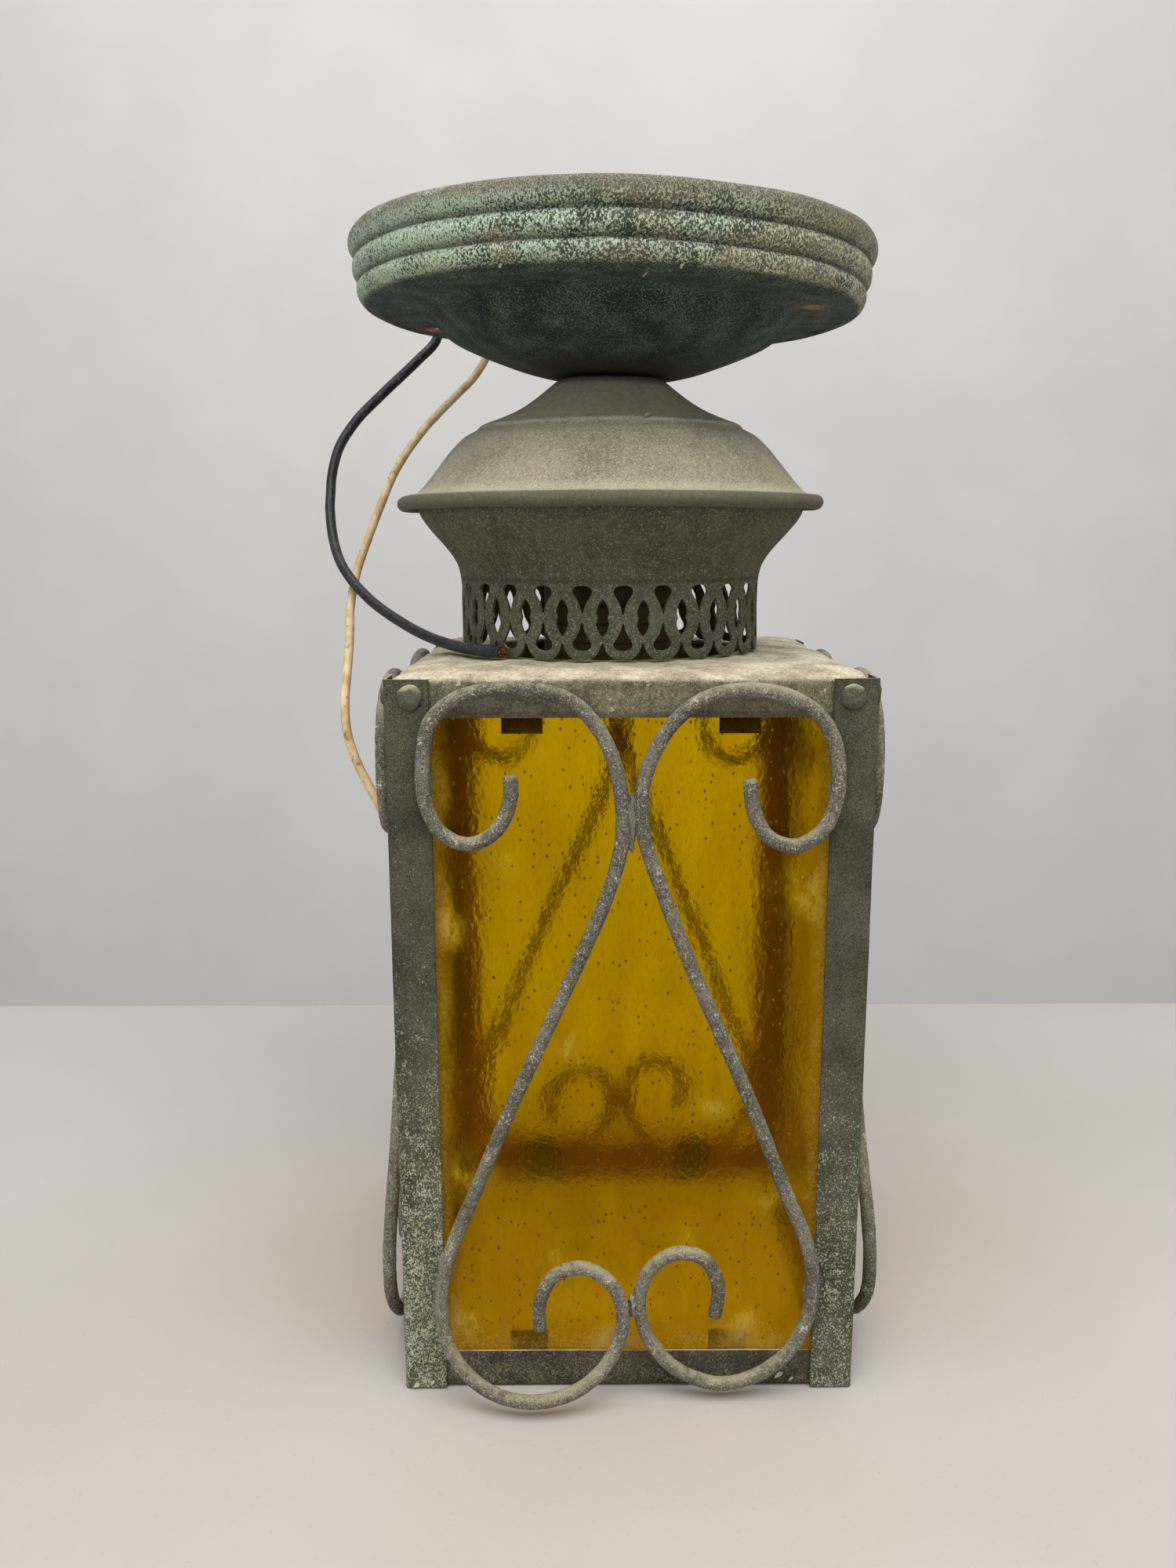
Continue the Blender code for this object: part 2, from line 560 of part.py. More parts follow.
def main():
    clear_scene()
    parts = collection("HangingLantern")
    cutters = collection("Cutters")
    green = material("canopy_patina", (0.10, 0.15, 0.12), 0.75, 0.4)
    hood_metal = material("hood_metal", (0.20, 0.18, 0.14), 0.65, 0.5)
    cap_metal = material("cap_metal", (0.42, 0.39, 0.31), 0.8, 0.2)
    strip_metal = material("strip_metal", (0.18, 0.19, 0.15), 0.75, 0.4)
    rail_metal = material("rail_metal", (0.12, 0.12, 0.10), 0.75, 0.4)
    rod_metal = material("rod_metal", (0.13, 0.13, 0.11), 0.7, 0.5)
    steel = material("steel", (0.30, 0.28, 0.25), 0.5, 0.9)
    brass = material("brass", (0.55, 0.42, 0.18), 0.4, 1.0)
    insulator = material("insulator", (0.12, 0.09, 0.05), 0.6, 0.0)
    amber = material("amber_glass", (0.50, 0.27, 0.01), 0.1, 0.0)
    black = material("black_insulation", (0.02, 0.02, 0.02), 0.45, 0.0)
    tan = material("tan_insulation", (0.60, 0.47, 0.28), 0.5, 0.0)

    build_canopy(parts, cutters, green)
    build_hood(parts, hood_metal)
    build_gallery(parts, cutters, hood_metal)
    build_stem(parts, brass, steel)
    build_socket(parts, steel, insulator, brass)
    holes = rivet_holes(cutters)
    build_corner_strips(parts, strip_metal, holes)
    build_rivets(parts, strip_metal)
    build_top_cap(parts, cutters, cap_metal, holes)
    build_bottom_frame(parts, rail_metal)
    build_glass(parts, amber)
    build_clips(parts, rail_metal)
    build_scrolls(parts, rod_metal)
    build_wires(parts, black, tan)


main()
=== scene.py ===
"""Hanging lantern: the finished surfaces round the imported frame.

Outlines, routes and sizes are in millimetres in the lantern's own frame. Materials, the camera and the room
work in metres.
"""

import math

import bmesh
import bpy
import numpy as np
from mathutils import Matrix, Vector, noise
from mathutils.geometry import delaunay_2d_cdt


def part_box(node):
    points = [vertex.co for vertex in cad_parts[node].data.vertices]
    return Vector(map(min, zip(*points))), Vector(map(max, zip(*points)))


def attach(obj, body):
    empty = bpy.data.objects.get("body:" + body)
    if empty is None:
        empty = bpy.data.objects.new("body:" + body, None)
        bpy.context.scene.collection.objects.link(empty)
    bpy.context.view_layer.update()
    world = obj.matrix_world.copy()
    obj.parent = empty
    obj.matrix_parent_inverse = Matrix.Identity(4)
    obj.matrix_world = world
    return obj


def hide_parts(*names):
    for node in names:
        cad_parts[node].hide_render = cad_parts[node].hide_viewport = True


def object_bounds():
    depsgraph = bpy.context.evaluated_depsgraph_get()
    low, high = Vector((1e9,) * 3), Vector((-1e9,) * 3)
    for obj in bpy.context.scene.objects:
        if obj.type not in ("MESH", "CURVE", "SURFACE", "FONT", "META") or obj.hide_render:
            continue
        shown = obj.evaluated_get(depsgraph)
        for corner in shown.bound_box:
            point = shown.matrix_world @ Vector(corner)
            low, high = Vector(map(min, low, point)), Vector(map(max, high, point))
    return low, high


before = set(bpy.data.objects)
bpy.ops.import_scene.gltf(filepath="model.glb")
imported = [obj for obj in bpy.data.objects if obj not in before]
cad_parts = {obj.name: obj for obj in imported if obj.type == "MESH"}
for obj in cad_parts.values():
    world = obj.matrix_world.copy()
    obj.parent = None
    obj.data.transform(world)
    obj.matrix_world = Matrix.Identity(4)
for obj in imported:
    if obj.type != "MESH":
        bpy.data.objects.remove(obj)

# The seed of the surfaces' unevenness, so that they come out the same each time.
UNEVENNESS_SEED = 7
noise.seed_set(UNEVENNESS_SEED)

MM = 0.001
ROOT = "root"
FULL_TURN = 2 * math.pi
cad_low, cad_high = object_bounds()


def span(node):
    """A CAD node's lowest and highest corners, in millimetres."""
    low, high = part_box(node)
    return low / MM, high / MM


rail_low, rail_high = span("bottom_frame")
strip_low, strip_high = span("corner_strip_front_left")
pane_low, pane_high = span("glass_front")
cap_high = span("top_cap")[1]
band_low = span("gallery")[0]
seat_high = span("hood")[1].z + 0.7
BOX_X = (rail_low.x + rail_high.x) / 2
BOX_HALF = BOX_X - strip_low.x
RAIL_HALF = rail_high.y
PANE_HALF = 60
GLASS_FACE = -pane_low.y
GLASS_THICK = pane_high.y - pane_low.y
SHEET = 0.8
FINE_STEPS = 288
FACES = ("front", "right", "back", "left")
CORNERS = ("front_left", "front_right", "back_right", "back_left")


# --- Camera --------------------------------------------------------------------------------------

def make_camera():
    data = bpy.data.cameras.new("camera")
    data.sensor_width = 36
    data.lens = 28.62
    data.clip_start = 0.01
    data.clip_end = 20
    camera = bpy.data.objects.new("camera", data)
    bpy.context.scene.collection.objects.link(camera)
    camera.location = Vector((BOX_X - 11.8, -388.7, 242.8)) * MM
    turn = Matrix.Rotation(math.radians(-0.06), 4, "Z")
    tilt = Matrix.Rotation(math.radians(90 - 11.05), 4, "X")
    roll = Matrix.Rotation(math.radians(-0.12), 4, "Z")
    camera.rotation_euler = (turn @ tilt @ roll).to_euler()
    bpy.context.scene.camera = camera


make_camera()


# --- Materials -----------------------------------------------------------------------------------

def colour(red, green, blue):
    """An sRGB colour, 0 to 255, as the linear values that shaders take."""
    parts = []
    for value in (red, green, blue):
        share = value / 255
        parts.append(share / 12.92 if share <= 0.04045 else ((share + 0.055) / 1.055) ** 2.4)
    return (*parts, 1.0)


class Finish:
    """A procedural material: a Principled shader, and short calls that add the nodes feeding it."""

    def __init__(self, name, rough, metal=0.0):
        self.material = bpy.data.materials.new(name)
        self.material.use_nodes = True
        self.tree = self.material.node_tree
        self.shader = self.tree.nodes["Principled BSDF"]
        self.shader.inputs["Roughness"].default_value = rough
        self.shader.inputs["Metallic"].default_value = metal
        self.shader.inputs["Specular IOR Level"].default_value = 0.3
        self.place = self.node("ShaderNodeTexCoord").outputs["Object"]
        geometry = self.node("ShaderNodeNewGeometry")
        normal = self.node("ShaderNodeSeparateXYZ", Vector=geometry.outputs["Normal"])
        spot = self.node("ShaderNodeSeparateXYZ", Vector=self.place)
        self.up = normal.outputs["Z"]
        self.x, self.y, self.z = (spot.outputs[axis] for axis in "XYZ")

    def node(self, kind, settings=None, **sockets):
        made = self.tree.nodes.new(kind)
        for key, value in (settings or {}).items():
            setattr(made, key, value)
        for name, value in sockets.items():
            self.feed(made.inputs[name.replace("_", " ")], value)
        return made

    def feed(self, socket, value):
        if isinstance(value, bpy.types.NodeSocket):
            self.tree.links.new(value, socket)
        else:
            socket.default_value = value

    def grain(self, size, detail=3.0, rough=0.6, stretch=(1, 1, 1), warp=0.0, shift=0.0):
        """Noise from 0 to 1, with features about size millimetres wide, longer on an axis by its stretch."""
        scale = [1 / (MM * size * longer) for longer in stretch]
        spot = self.node("ShaderNodeMapping", Vector=self.place, Scale=scale, Location=[shift] * 3)
        made = self.node(
            "ShaderNodeTexNoise", Vector=spot.outputs[0], Scale=1.0, Detail=detail, Roughness=rough,
            Distortion=warp,
        )
        return made.outputs[0]

    def band(self, value, low, high, to_low=0.0, to_high=1.0):
        """A smooth step from to_low to to_high as value goes from low to high."""
        made = self.node(
            "ShaderNodeMapRange", {"interpolation_type": "SMOOTHSTEP"}, Value=value, From_Min=low,
            From_Max=high, To_Min=to_low, To_Max=to_high,
        )
        return made.outputs[0]

    def maths(self, operation, *values, clamp=False):
        made = self.node("ShaderNodeMath", {"operation": operation, "use_clamp": clamp})
        for socket, value in zip(made.inputs, values):
            self.feed(socket, value)
        return made.outputs[0]

    def product(self, first, *rest):
        for factor in rest:
            first = self.maths("MULTIPLY", first, factor)
        return first

    def total(self, *terms):
        """A sum of terms, each a value or a (value, weight)."""
        terms = [self.product(*term) if isinstance(term, tuple) else term for term in terms]
        result = terms[0]
        for term in terms[1:]:
            result = self.maths("ADD", result, term)
        return result

    def coat(self, base, paint, *cover):
        """A base under paint, laid on by the product of its covers. Either is an sRGB triple or a layer."""
        made = self.node("ShaderNodeMix", {"data_type": "RGBA"})
        for index, value in ((0, self.product(*cover)), (6, base), (7, paint)):
            self.feed(made.inputs[index], colour(*value) if isinstance(value, tuple) else value)
        return made.outputs[2]

    def tones(self, value, low, high, first, second):
        """From one colour to another as value goes from low to high."""
        return self.coat(first, second, self.band(value, low, high))

    def near(self, point, inner, outer):
        """1 within inner millimetres of a point, falling to 0 at outer."""
        made = self.node("ShaderNodeVectorMath", {"operation": "DISTANCE"})
        self.feed(made.inputs[0], self.place)
        self.feed(made.inputs[1], [value * MM for value in point])
        return self.band(made.outputs["Value"], inner * MM, outer * MM, 1.0, 0.0)

    def crevice_shade_and_grime(self, reach):
        """1 in the open, 0 deep in a corner, within reach millimetres: ambient occlusion that drives painted
        shade and grime in crevices.
        """
        made = self.node("ShaderNodeAmbientOcclusion", {"samples": 6}, Distance=reach * MM)
        return made.outputs["AO"]

    def relief(self, height, depth, under=None):
        """A bump of depth millimetres, on top of another bump."""
        made = self.node("ShaderNodeBump", Height=height, Strength=1.0, Distance=depth * MM)
        if under is not None:
            self.feed(made.inputs["Normal"], under)
        return made.outputs[0]

    def reliefs(self, *layers):
        """Bumps on bumps, each a (height, depth)."""
        bump = None
        for height, depth in layers:
            bump = self.relief(height, depth, bump)
        return bump

    def done(self, base, normal=None, rough=None):
        self.feed(self.shader.inputs["Base Color"], base)
        if normal is not None:
            self.feed(self.shader.inputs["Normal"], normal)
        if rough is not None:
            self.feed(self.shader.inputs["Roughness"], rough)
        return self.material


CANOPY_LEAN = math.radians(1.05)
CANOPY_HOLE_RING = 60.7
CANOPY_HOLE_RADIUS = 3.2
CANOPY_HOLE_ANGLE = math.radians(-24.5)
CANOPY_FLAT = 307.6
LEAN = (
    Matrix.Translation((0, 0, seat_high))
    @ Matrix.Rotation(CANOPY_LEAN, 4, "Y")
    @ Matrix.Translation((0, 0, -seat_high))
)


def canopy_holes():
    """The middles of the canopy's two screw holes."""
    spots = []
    for side in (0, math.pi):
        angle = CANOPY_HOLE_ANGLE + side
        ring = Vector((CANOPY_HOLE_RING * math.cos(angle), CANOPY_HOLE_RING * math.sin(angle), CANOPY_FLAT))
        spots.append(LEAN @ ring)
    return spots


def canopy_finish():
    """Verdigris in short upright dashes over dark metal, browner at the rim and teal underneath."""
    f = Finish("canopy_patina", 0.8)
    patches = f.grain(24, 2.5, 0.55)
    clouds = f.grain(8, shift=3)
    dashes = f.grain(0.52, 2.5, 0.7, stretch=(1, 1, 1.7))
    specks = f.grain(0.33, 2, 0.7, stretch=(1, 1, 1.3), shift=7)
    level = f.total(f.z, f.product(f.x, math.tan(CANOPY_LEAN)))
    under = f.band(level, 0.3078, 0.3092, 1.0, 0.0)
    metal = f.tones(clouds, 0.35, 0.68, (52, 62, 49), (92, 95, 77))
    metal = f.coat(metal, (24, 28, 22), f.band(specks, 0.46, 0.34), 0.8)
    brown = f.tones(specks, 0.45, 0.62, (92, 86, 70), (142, 138, 116))
    metal = f.coat(metal, brown, f.band(f.total(patches, (f.x, 1.2)), 0.48, 0.64))
    mint = f.tones(specks, 0.38, 0.66, (140, 170, 144), (216, 230, 202))
    pale = f.tones(specks, 0.38, 0.66, (166, 170, 138), (218, 216, 182))
    mint = f.coat(mint, pale, f.band(f.total(patches, (f.x, 2.4)), 0.42, 0.62))
    lean = f.total(f.band(f.x, -0.05, 0.0, 0.05, -0.03), f.band(f.x, 0.02, 0.06, 0.0, 0.02))
    amount = f.total(dashes, (patches, -0.16), (clouds, 0.22), lean)
    beads = f.coat(metal, mint, f.band(amount, 0.495, 0.565), 0.95)
    rim = f.band(level, 0.3215, 0.3258)
    worn = f.tones(specks, 0.4, 0.62, (64, 59, 47), (140, 134, 112))
    beads = f.coat(beads, worn, rim, f.band(f.total(clouds, (dashes, 0.5)), 0.6, 0.85, 0.45, 0.95))
    teal = f.tones(clouds, 0.38, 0.66, (28, 35, 27), (42, 52, 41))
    teal = f.coat(teal, (26, 50, 42), f.band(patches, 0.46, 0.62), 0.45)
    flecks = f.band(f.total(specks, (dashes, 0.5), (clouds, 0.3)), 0.9, 1.04)
    teal = f.coat(teal, (112, 136, 112), flecks, 0.75)
    teal = f.coat(teal, (20, 24, 18), f.band(dashes, 0.44, 0.34), 0.6)
    foot = f.band(level, 0.2955, 0.2905)
    teal = f.coat(teal, (52, 48, 36), foot, 0.75)
    base = f.coat(beads, teal, under)
    # Painted shade and grime: deep green-black in the grooves and crevices.
    base = f.coat(base, (22, 31, 23), f.band(f.crevice_shade_and_grime(2.6), 0.5, 0.92, 0.9, 0.0))
    for spot in canopy_holes():
        ring = f.product(f.near(spot, 4.0, 6.4), f.band(f.grain(1.5), 0.3, 0.6, 0.55, 1.0))
        base = f.coat(base, (120, 82, 58), ring, 0.85)
    bumps = f.reliefs((dashes, 0.4), (specks, 0.2))
    return f.done(base, bumps, f.band(dashes, 0.3, 0.7, 0.7, 0.92))


def hood_finish(name, olive):
    """Grey-brown metal with a sandy grain, faint upright streaks and dust where it lies flat."""
    f = Finish(name, 0.85)
    clouds = f.grain(20)
    streaks = f.grain(2.2, stretch=(1, 1, 7), shift=2)
    specks = f.grain(0.42, 2.5, 0.68, shift=5)
    grit = f.grain(1.15, 4, 0.72, shift=11)
    patches = f.grain(6, shift=8)
    plain = 0.0 if olive else 1.0
    dark, mid = ((62, 62, 47), (88, 87, 68)) if olive else ((132, 126, 105), (157, 150, 127))
    light_fleck, dark_fleck = ((166, 160, 134), (52, 49, 38)) if olive else ((214, 207, 180), (84, 79, 63))
    base = f.coat(
        dark, mid, f.band(f.total(clouds, (streaks, 0.3), (grit, 0.3)), 0.5, 1.0)
    )
    base = f.coat(base, (116, 120, 100), f.band(patches, 0.5, 0.75), 0.3)
    dust = f.product(f.band(f.up, 0.25, 0.9), f.band(f.total(clouds, (specks, 0.6)), 0.5, 0.95))
    base = f.coat(base, (186, 178, 151), dust, 0.35)
    speckle = f.total(specks, (grit, 0.5))
    base = f.coat(base, light_fleck, f.band(speckle, 0.79, 0.92), 0.6)
    base = f.coat(base, dark_fleck, f.band(speckle, 0.71, 0.56), 0.65)
    # Painted highlight: a cream band on the upward faces just above the rolled rim.
    skirt = f.product(f.band(f.z, 0.2553, 0.256), f.band(f.z, 0.2588, 0.2568), f.band(f.up, 0.1, 0.5))
    base = f.coat(base, (190, 182, 153), skirt, f.band(specks, 0.35, 0.6, 0.2, 0.75))
    # Painted shade: the rolled rim's lower half darker, on the hood only.
    painted_rim_shade = f.band(f.z, 0.2559, 0.2552)
    base = f.coat(base, (74, 70, 55), painted_rim_shade, 0.8 * plain)
    seam = f.product(f.band(f.z, 0.2308, 0.2318), f.band(f.z, 0.233, 0.232))
    base = f.coat(base, (48, 46, 34), seam, 0.45 * (1.0 - plain))
    # Painted light: the neck sits in the canopy's shade and is lightened here, by a painted highlight band
    # (lit), a pale band above it on the hood, and the streaky neck mask.
    neck = f.product(f.band(f.z, 0.275, 0.283), f.band(f.total(streaks, (clouds, 0.5)), 0.9, 0.62))
    lit = f.product(f.band(f.z, 0.2762, 0.2775), f.band(streaks, 0.3, 0.6, 0.35, 0.7))
    base = f.coat(base, (190, 182, 158), lit, plain)
    base = f.coat(base, (186, 177, 150), f.band(f.z, 0.2772, 0.28), 0.8 * plain)
    base = f.coat(base, (140, 131, 110), neck, 0.4)
    # Painted shade: the top of the neck, under the canopy, darker.
    painted_throat_shade = f.band(f.z, 0.2845, 0.2885)
    base = f.coat(base, (100, 93, 77), painted_throat_shade, 0.25)
    crease = f.product(f.band(f.z, 0.2746, 0.2752), f.band(f.z, 0.2762, 0.2756))
    base = f.coat(base, (200, 194, 166), crease, f.band(patches, 0.3, 0.6, 0.2, 1.0), 0.6)
    # Painted shade and grime: darker in crevices.
    base = f.coat(base, (50, 47, 36), f.band(f.crevice_shade_and_grime(4), 0.4, 0.85, 0.7, 0.0))
    bumps = f.reliefs((grit, 0.3), (specks, 0.28))
    return f.done(base, bumps, f.band(specks, 0.3, 0.7, 0.75, 0.95))


def cap_finish():
    """A lid under pale dust, darker at its folds with painted shade and grime, and a brown-grey skirt darker
    along its lower edge.
    """
    f = Finish("cap_patina", 0.9)
    clouds = f.grain(14, 4, 0.62)
    patches = f.grain(4, 4, 0.65, shift=4)
    grit = f.grain(1.1, 3, 0.65, shift=11)
    specks = f.grain(0.42, 2.5, 0.68, shift=6)
    metal = f.tones(f.total(patches, (grit, 0.4)), 0.5, 0.85, (82, 78, 60), (118, 112, 88))
    metal = f.coat(metal, (164, 158, 132), f.band(f.total(specks, (grit, 0.4)), 0.74, 0.86), 0.65)
    metal = f.coat(metal, (56, 52, 40), f.band(f.total(specks, (grit, 0.4)), 0.64, 0.52), 0.6)
    film = f.tones(
        f.total((clouds, 0.6), (grit, 0.6)), 0.5, 0.78, (172, 163, 137), (218, 211, 185)
    )
    film = f.coat(film, (128, 118, 92), f.band(f.total(specks, (patches, 0.5)), 0.7, 0.54), 0.75)
    lies = f.band(f.up, 0.35, 0.93)
    cover = f.total(clouds, (patches, 0.6), (specks, 0.35))
    base = f.coat(metal, film, lies, f.band(cover, 0.72, 1.02, 0.6, 1.0))
    spots = f.band(f.grain(3.0, shift=9), 0.66, 0.72)
    base = f.coat(base, (196, 190, 162), spots, 0.6)
    lip = f.band(f.z, 0.1992, 0.1984)
    base = f.coat(base, (66, 62, 48), lip, 0.45)
    # Painted shade and grime: darker in the folds' crevices.
    base = f.coat(base, (58, 54, 40), f.band(f.crevice_shade_and_grime(3), 0.35, 0.8, 0.6, 0.0))
    bumps = f.reliefs((grit, 0.35), (specks, 0.28), (patches, 0.4))
    return f.done(base, bumps)


def speckled_finish(name, dark, mid, pale, low, high, cover):
    """Grey-green metal under fine pale flecks, denser where the height nears low and towards the left."""
    f = Finish(name, 0.85)
    clouds = f.grain(20)
    patches = f.grain(5, shift=4)
    flecks = f.grain(0.36, 2.5, 0.72, stretch=(1, 1, 1.3), shift=1)
    fine = f.grain(0.3, 2, 0.65, shift=6)
    grit = f.grain(1.2, 3, 0.65, shift=11)
    base = f.coat(dark, mid, f.band(f.total(clouds, (grit, 0.35)), 0.5, 0.85))
    darkest = [0.3 * part for part in colour(*dark)[:3]] + [1.0]
    base = f.coat(base, darkest, f.band(fine, 0.5, 0.38), 0.75)
    leaning = f.band(f.x, -0.04, 0.05, 0.03, -0.02)
    density = f.total(
        flecks, (patches, 0.28), (grit, 0.22), leaning,
        f.band(f.z, low, high, 0.05, -0.14),
    )
    base = f.coat(base, pale, f.band(density, 0.81, 0.91), cover)
    base = f.coat(base, (148, 144, 118), f.band(fine, 0.6, 0.7), 0.4)
    dust = f.product(f.band(f.up, 0.3, 0.85), f.band(patches, 0.3, 0.6, 0.4, 0.9))
    base = f.coat(base, (176, 168, 140), dust)
    # Painted shade and grime: darker in crevices.
    base = f.coat(base, (44, 42, 32), f.band(f.crevice_shade_and_grime(2.5), 0.4, 0.8, 0.55, 0.0))
    bumps = f.reliefs((grit, 0.3), (flecks, 0.3), (fine, 0.12))
    return f.done(base, bumps, f.band(flecks, 0.35, 0.65, 0.72, 0.92))


def rod_finish():
    """Dark grey bar with a sandy grain, pale scuffs and dust on what faces up."""
    f = Finish("rod_patina", 0.85)
    clouds = f.grain(22)
    patches = f.grain(3.4, 4, 0.65, shift=4)
    grit = f.grain(0.95, 3, 0.68, shift=11)
    specks = f.grain(0.36, 2.5, 0.68, shift=6)
    base = f.tones(f.total(clouds, (patches, 0.4)), 0.5, 0.9, (84, 80, 68), (124, 119, 104))
    base = f.coat(base, (184, 178, 156), f.band(f.total(specks, (grit, 0.5)), 0.79, 0.91), 0.75)
    base = f.coat(base, (38, 36, 28), f.band(f.total(specks, (grit, 0.5)), 0.7, 0.58), 0.75)
    scuffs = f.band(
        f.total((specks, 0.6), (patches, 0.8), (grit, 0.3)), 0.96, 1.04
    )
    base = f.coat(base, (206, 201, 178), scuffs, 0.85)
    dust = f.product(
        f.band(f.up, 0.1, 0.9),
        f.band(f.total(patches, (clouds, 0.7), (grit, 0.3)), 0.75, 1.1),
    )
    base = f.coat(base, (160, 152, 126), dust, 0.7)
    bumps = f.reliefs((grit, 0.45), (specks, 0.35), (patches, 0.4))
    return f.done(base, bumps)


def metal_finish(name, dark, light, rough, metal):
    """A plain fitting's metal, dulled in patches."""
    f = Finish(name, rough, metal)
    patches = f.grain(3.0)
    specks = f.grain(0.4, shift=3)
    base = f.coat(dark, light, f.band(patches, 0.35, 0.65))
    base = f.coat(base, (46, 38, 28), f.band(specks, 0.44, 0.34), 0.7)
    return f.done(base, f.relief(specks, 0.08), f.band(patches, 0.3, 0.7, rough - 0.1, rough + 0.2))


def insulator_finish():
    f = Finish("insulator", 0.6)
    patches = f.grain(6)
    specks = f.grain(0.6, shift=3)
    base = f.tones(patches, 0.35, 0.65, (62, 54, 34), (84, 74, 50))
    base = f.coat(base, (120, 112, 86), f.band(specks, 0.56, 0.66), 0.4)
    return f.done(base, f.relief(specks, 0.1))
HAZE_SPOTS = (
    (-28, 188, 9), (-35, 160, 12), (46, 151, 15), (-48, 139, 10), (-17, 104, 12), (24, 86, 9),
    (-44, 66, 13), (40, 60, 14), (-22, 40, 8), (14, 46, 9), (-46, 22, 12), (36, 17, 14), (-4, 13, 12),
)


def glass_finish():
    """Deep amber glass: reamy and seeded, with a dusty film in patches and dark grime near its edges."""
    f = Finish("amber_glass", 0.13)
    f.shader.inputs["IOR"].default_value = 1.5
    f.shader.inputs["Specular IOR Level"].default_value = 0.3
    f.shader.inputs["Specular Tint"].default_value = colour(150, 105, 30)
    streaks = f.grain(9, 2.5, 0.55, stretch=(1, 1, 4))
    peel = f.grain(1.6, 2.5, stretch=(1, 1, 1.3), shift=5)
    haze = f.grain(7, 4, stretch=(1, 1, 1.6), shift=8)
    fine = f.grain(0.8, 3, 0.65, stretch=(1, 1, 3.0), shift=4)
    base = f.tones(streaks, 0.35, 0.65, (232, 206, 8), (243, 219, 12))
    spots = f.node("ShaderNodeMapping", Vector=f.place, Scale=(1000, 1000, 620)).outputs[0]
    cells = f.node("ShaderNodeTexVoronoi", Vector=spots, Scale=0.52, Randomness=1.0)
    near_seed = f.band(cells.outputs["Distance"], 0.1, 0.18, 1.0, 0.0)
    chosen = f.band(f.node("ShaderNodeSeparateColor", Color=cells.outputs["Color"]).outputs[0], 0.56, 0.58)
    seed = f.product(near_seed, chosen)
    base = f.coat(base, (196, 150, 0), f.band(fine, 0.46, 0.34), 0.35)
    base = f.coat(base, (88, 42, 0), seed, 0.95)
    off_x = f.maths("ABSOLUTE", f.total(f.x, -BOX_X * MM))
    across = f.maths("MINIMUM", off_x, f.maths("ABSOLUTE", f.y))
    side = f.band(f.total(across, (haze, 0.01)), 0.0525, 0.058)
    foot = f.band(f.total(f.z, (haze, -0.016)), (rail_high.z + 5) * MM, (rail_high.z - 8) * MM)
    grime = f.maths("MAXIMUM", side, foot)
    base = f.coat(base, (170, 118, 30), grime, 0.55)
    film = f.product(f.band(f.total(haze, (fine, 0.3)), 0.86, 1.1), 0.4)
    for across_at, up_at, reach in HAZE_SPOTS:
        spot = f.near((BOX_X + across_at, -GLASS_FACE, up_at), 0.0, reach)
        film = f.total(
            film, f.product(spot, f.band(f.total(haze, (fine, 0.3)), 0.5, 0.9, 0.12, 0.7))
        )
    dust = f.grain(0.9, 3, 0.65, shift=12)
    film = f.product(f.total(film, f.product(grime, f.band(dust, 0.35, 0.65, 0.3, 0.55))), 0.6)
    film = f.maths("MINIMUM", film, 0.6)
    base = f.coat(base, (206, 178, 124), film)
    bumps = f.reliefs((streaks, 0.12), (peel, 0.07), (seed, 0.1))
    f.feed(f.shader.inputs["Transmission Weight"], f.band(film, 0.0, 0.6, 1.0, 0.55))
    through = f.node("ShaderNodeBsdfTransparent", Color=colour(244, 224, 60))
    shadow = f.node("ShaderNodeLightPath").outputs["Is Shadow Ray"]
    both = f.node("ShaderNodeMixShader")
    for index, value in enumerate((shadow, f.shader.outputs[0], through.outputs[0])):
        f.feed(both.inputs[index], value)
    f.feed(f.tree.nodes["Material Output"].inputs["Surface"], both.outputs[0])
    return f.done(base, bumps, f.band(film, 0.0, 0.5, 0.105, 0.42))


def wire_finish(name, dark, light, stain, rough):
    """Old insulation: slightly blotched, scuffed and stained."""
    f = Finish(name, rough)
    patches = f.grain(6)
    blots = f.grain(2.4, stretch=(1, 1, 1.6), shift=4)
    specks = f.grain(0.4, 2, shift=7)
    base = f.coat(dark, light, f.band(patches, 0.38, 0.62))
    base = f.coat(base, stain, f.band(blots, 0.6, 0.68), 0.8)
    base = f.coat(base, (150, 142, 124), f.band(specks, 0.63, 0.7), 0.35)
    return f.done(base, f.relief(specks, 0.06), f.band(blots, 0.4, 0.7, rough - 0.08, rough + 0.2))


CANOPY = canopy_finish()
HOOD = hood_finish("hood_patina", False)
GALLERY = hood_finish("gallery_patina", True)
CAP = cap_finish()
STRIP = speckled_finish("strip_patina", (58, 59, 45), (90, 88, 70), (184, 187, 156), 0.03, 0.17, 0.95)
RAIL = speckled_finish("rail_patina", (50, 45, 34), (84, 76, 58), (150, 145, 118), 0.0, 0.03, 0.6)
RIVET = speckled_finish("rivet_patina", (76, 76, 62), (104, 102, 84), (152, 150, 126), 0.0, 0.3, 0.6)
ROD = rod_finish()
STEEL = metal_finish("dull_steel", (104, 98, 86), (140, 134, 120), 0.45, 0.8)
BRASS = metal_finish("dull_brass", (122, 96, 50), (176, 142, 78), 0.35, 1.0)
COPPER = metal_finish("bare_copper", (96, 48, 28), (150, 84, 52), 0.5, 0.7)
INSULATOR = insulator_finish()
GLASS = glass_finish()
BLACK = wire_finish("black_wire", (26, 27, 30), (40, 42, 46), (70, 70, 70), 0.42)
TAN = wire_finish("tan_wire", (194, 166, 116), (219, 200, 160), (140, 102, 58), 0.5)


# --- Mesh helpers --------------------------------------------------------------------------------

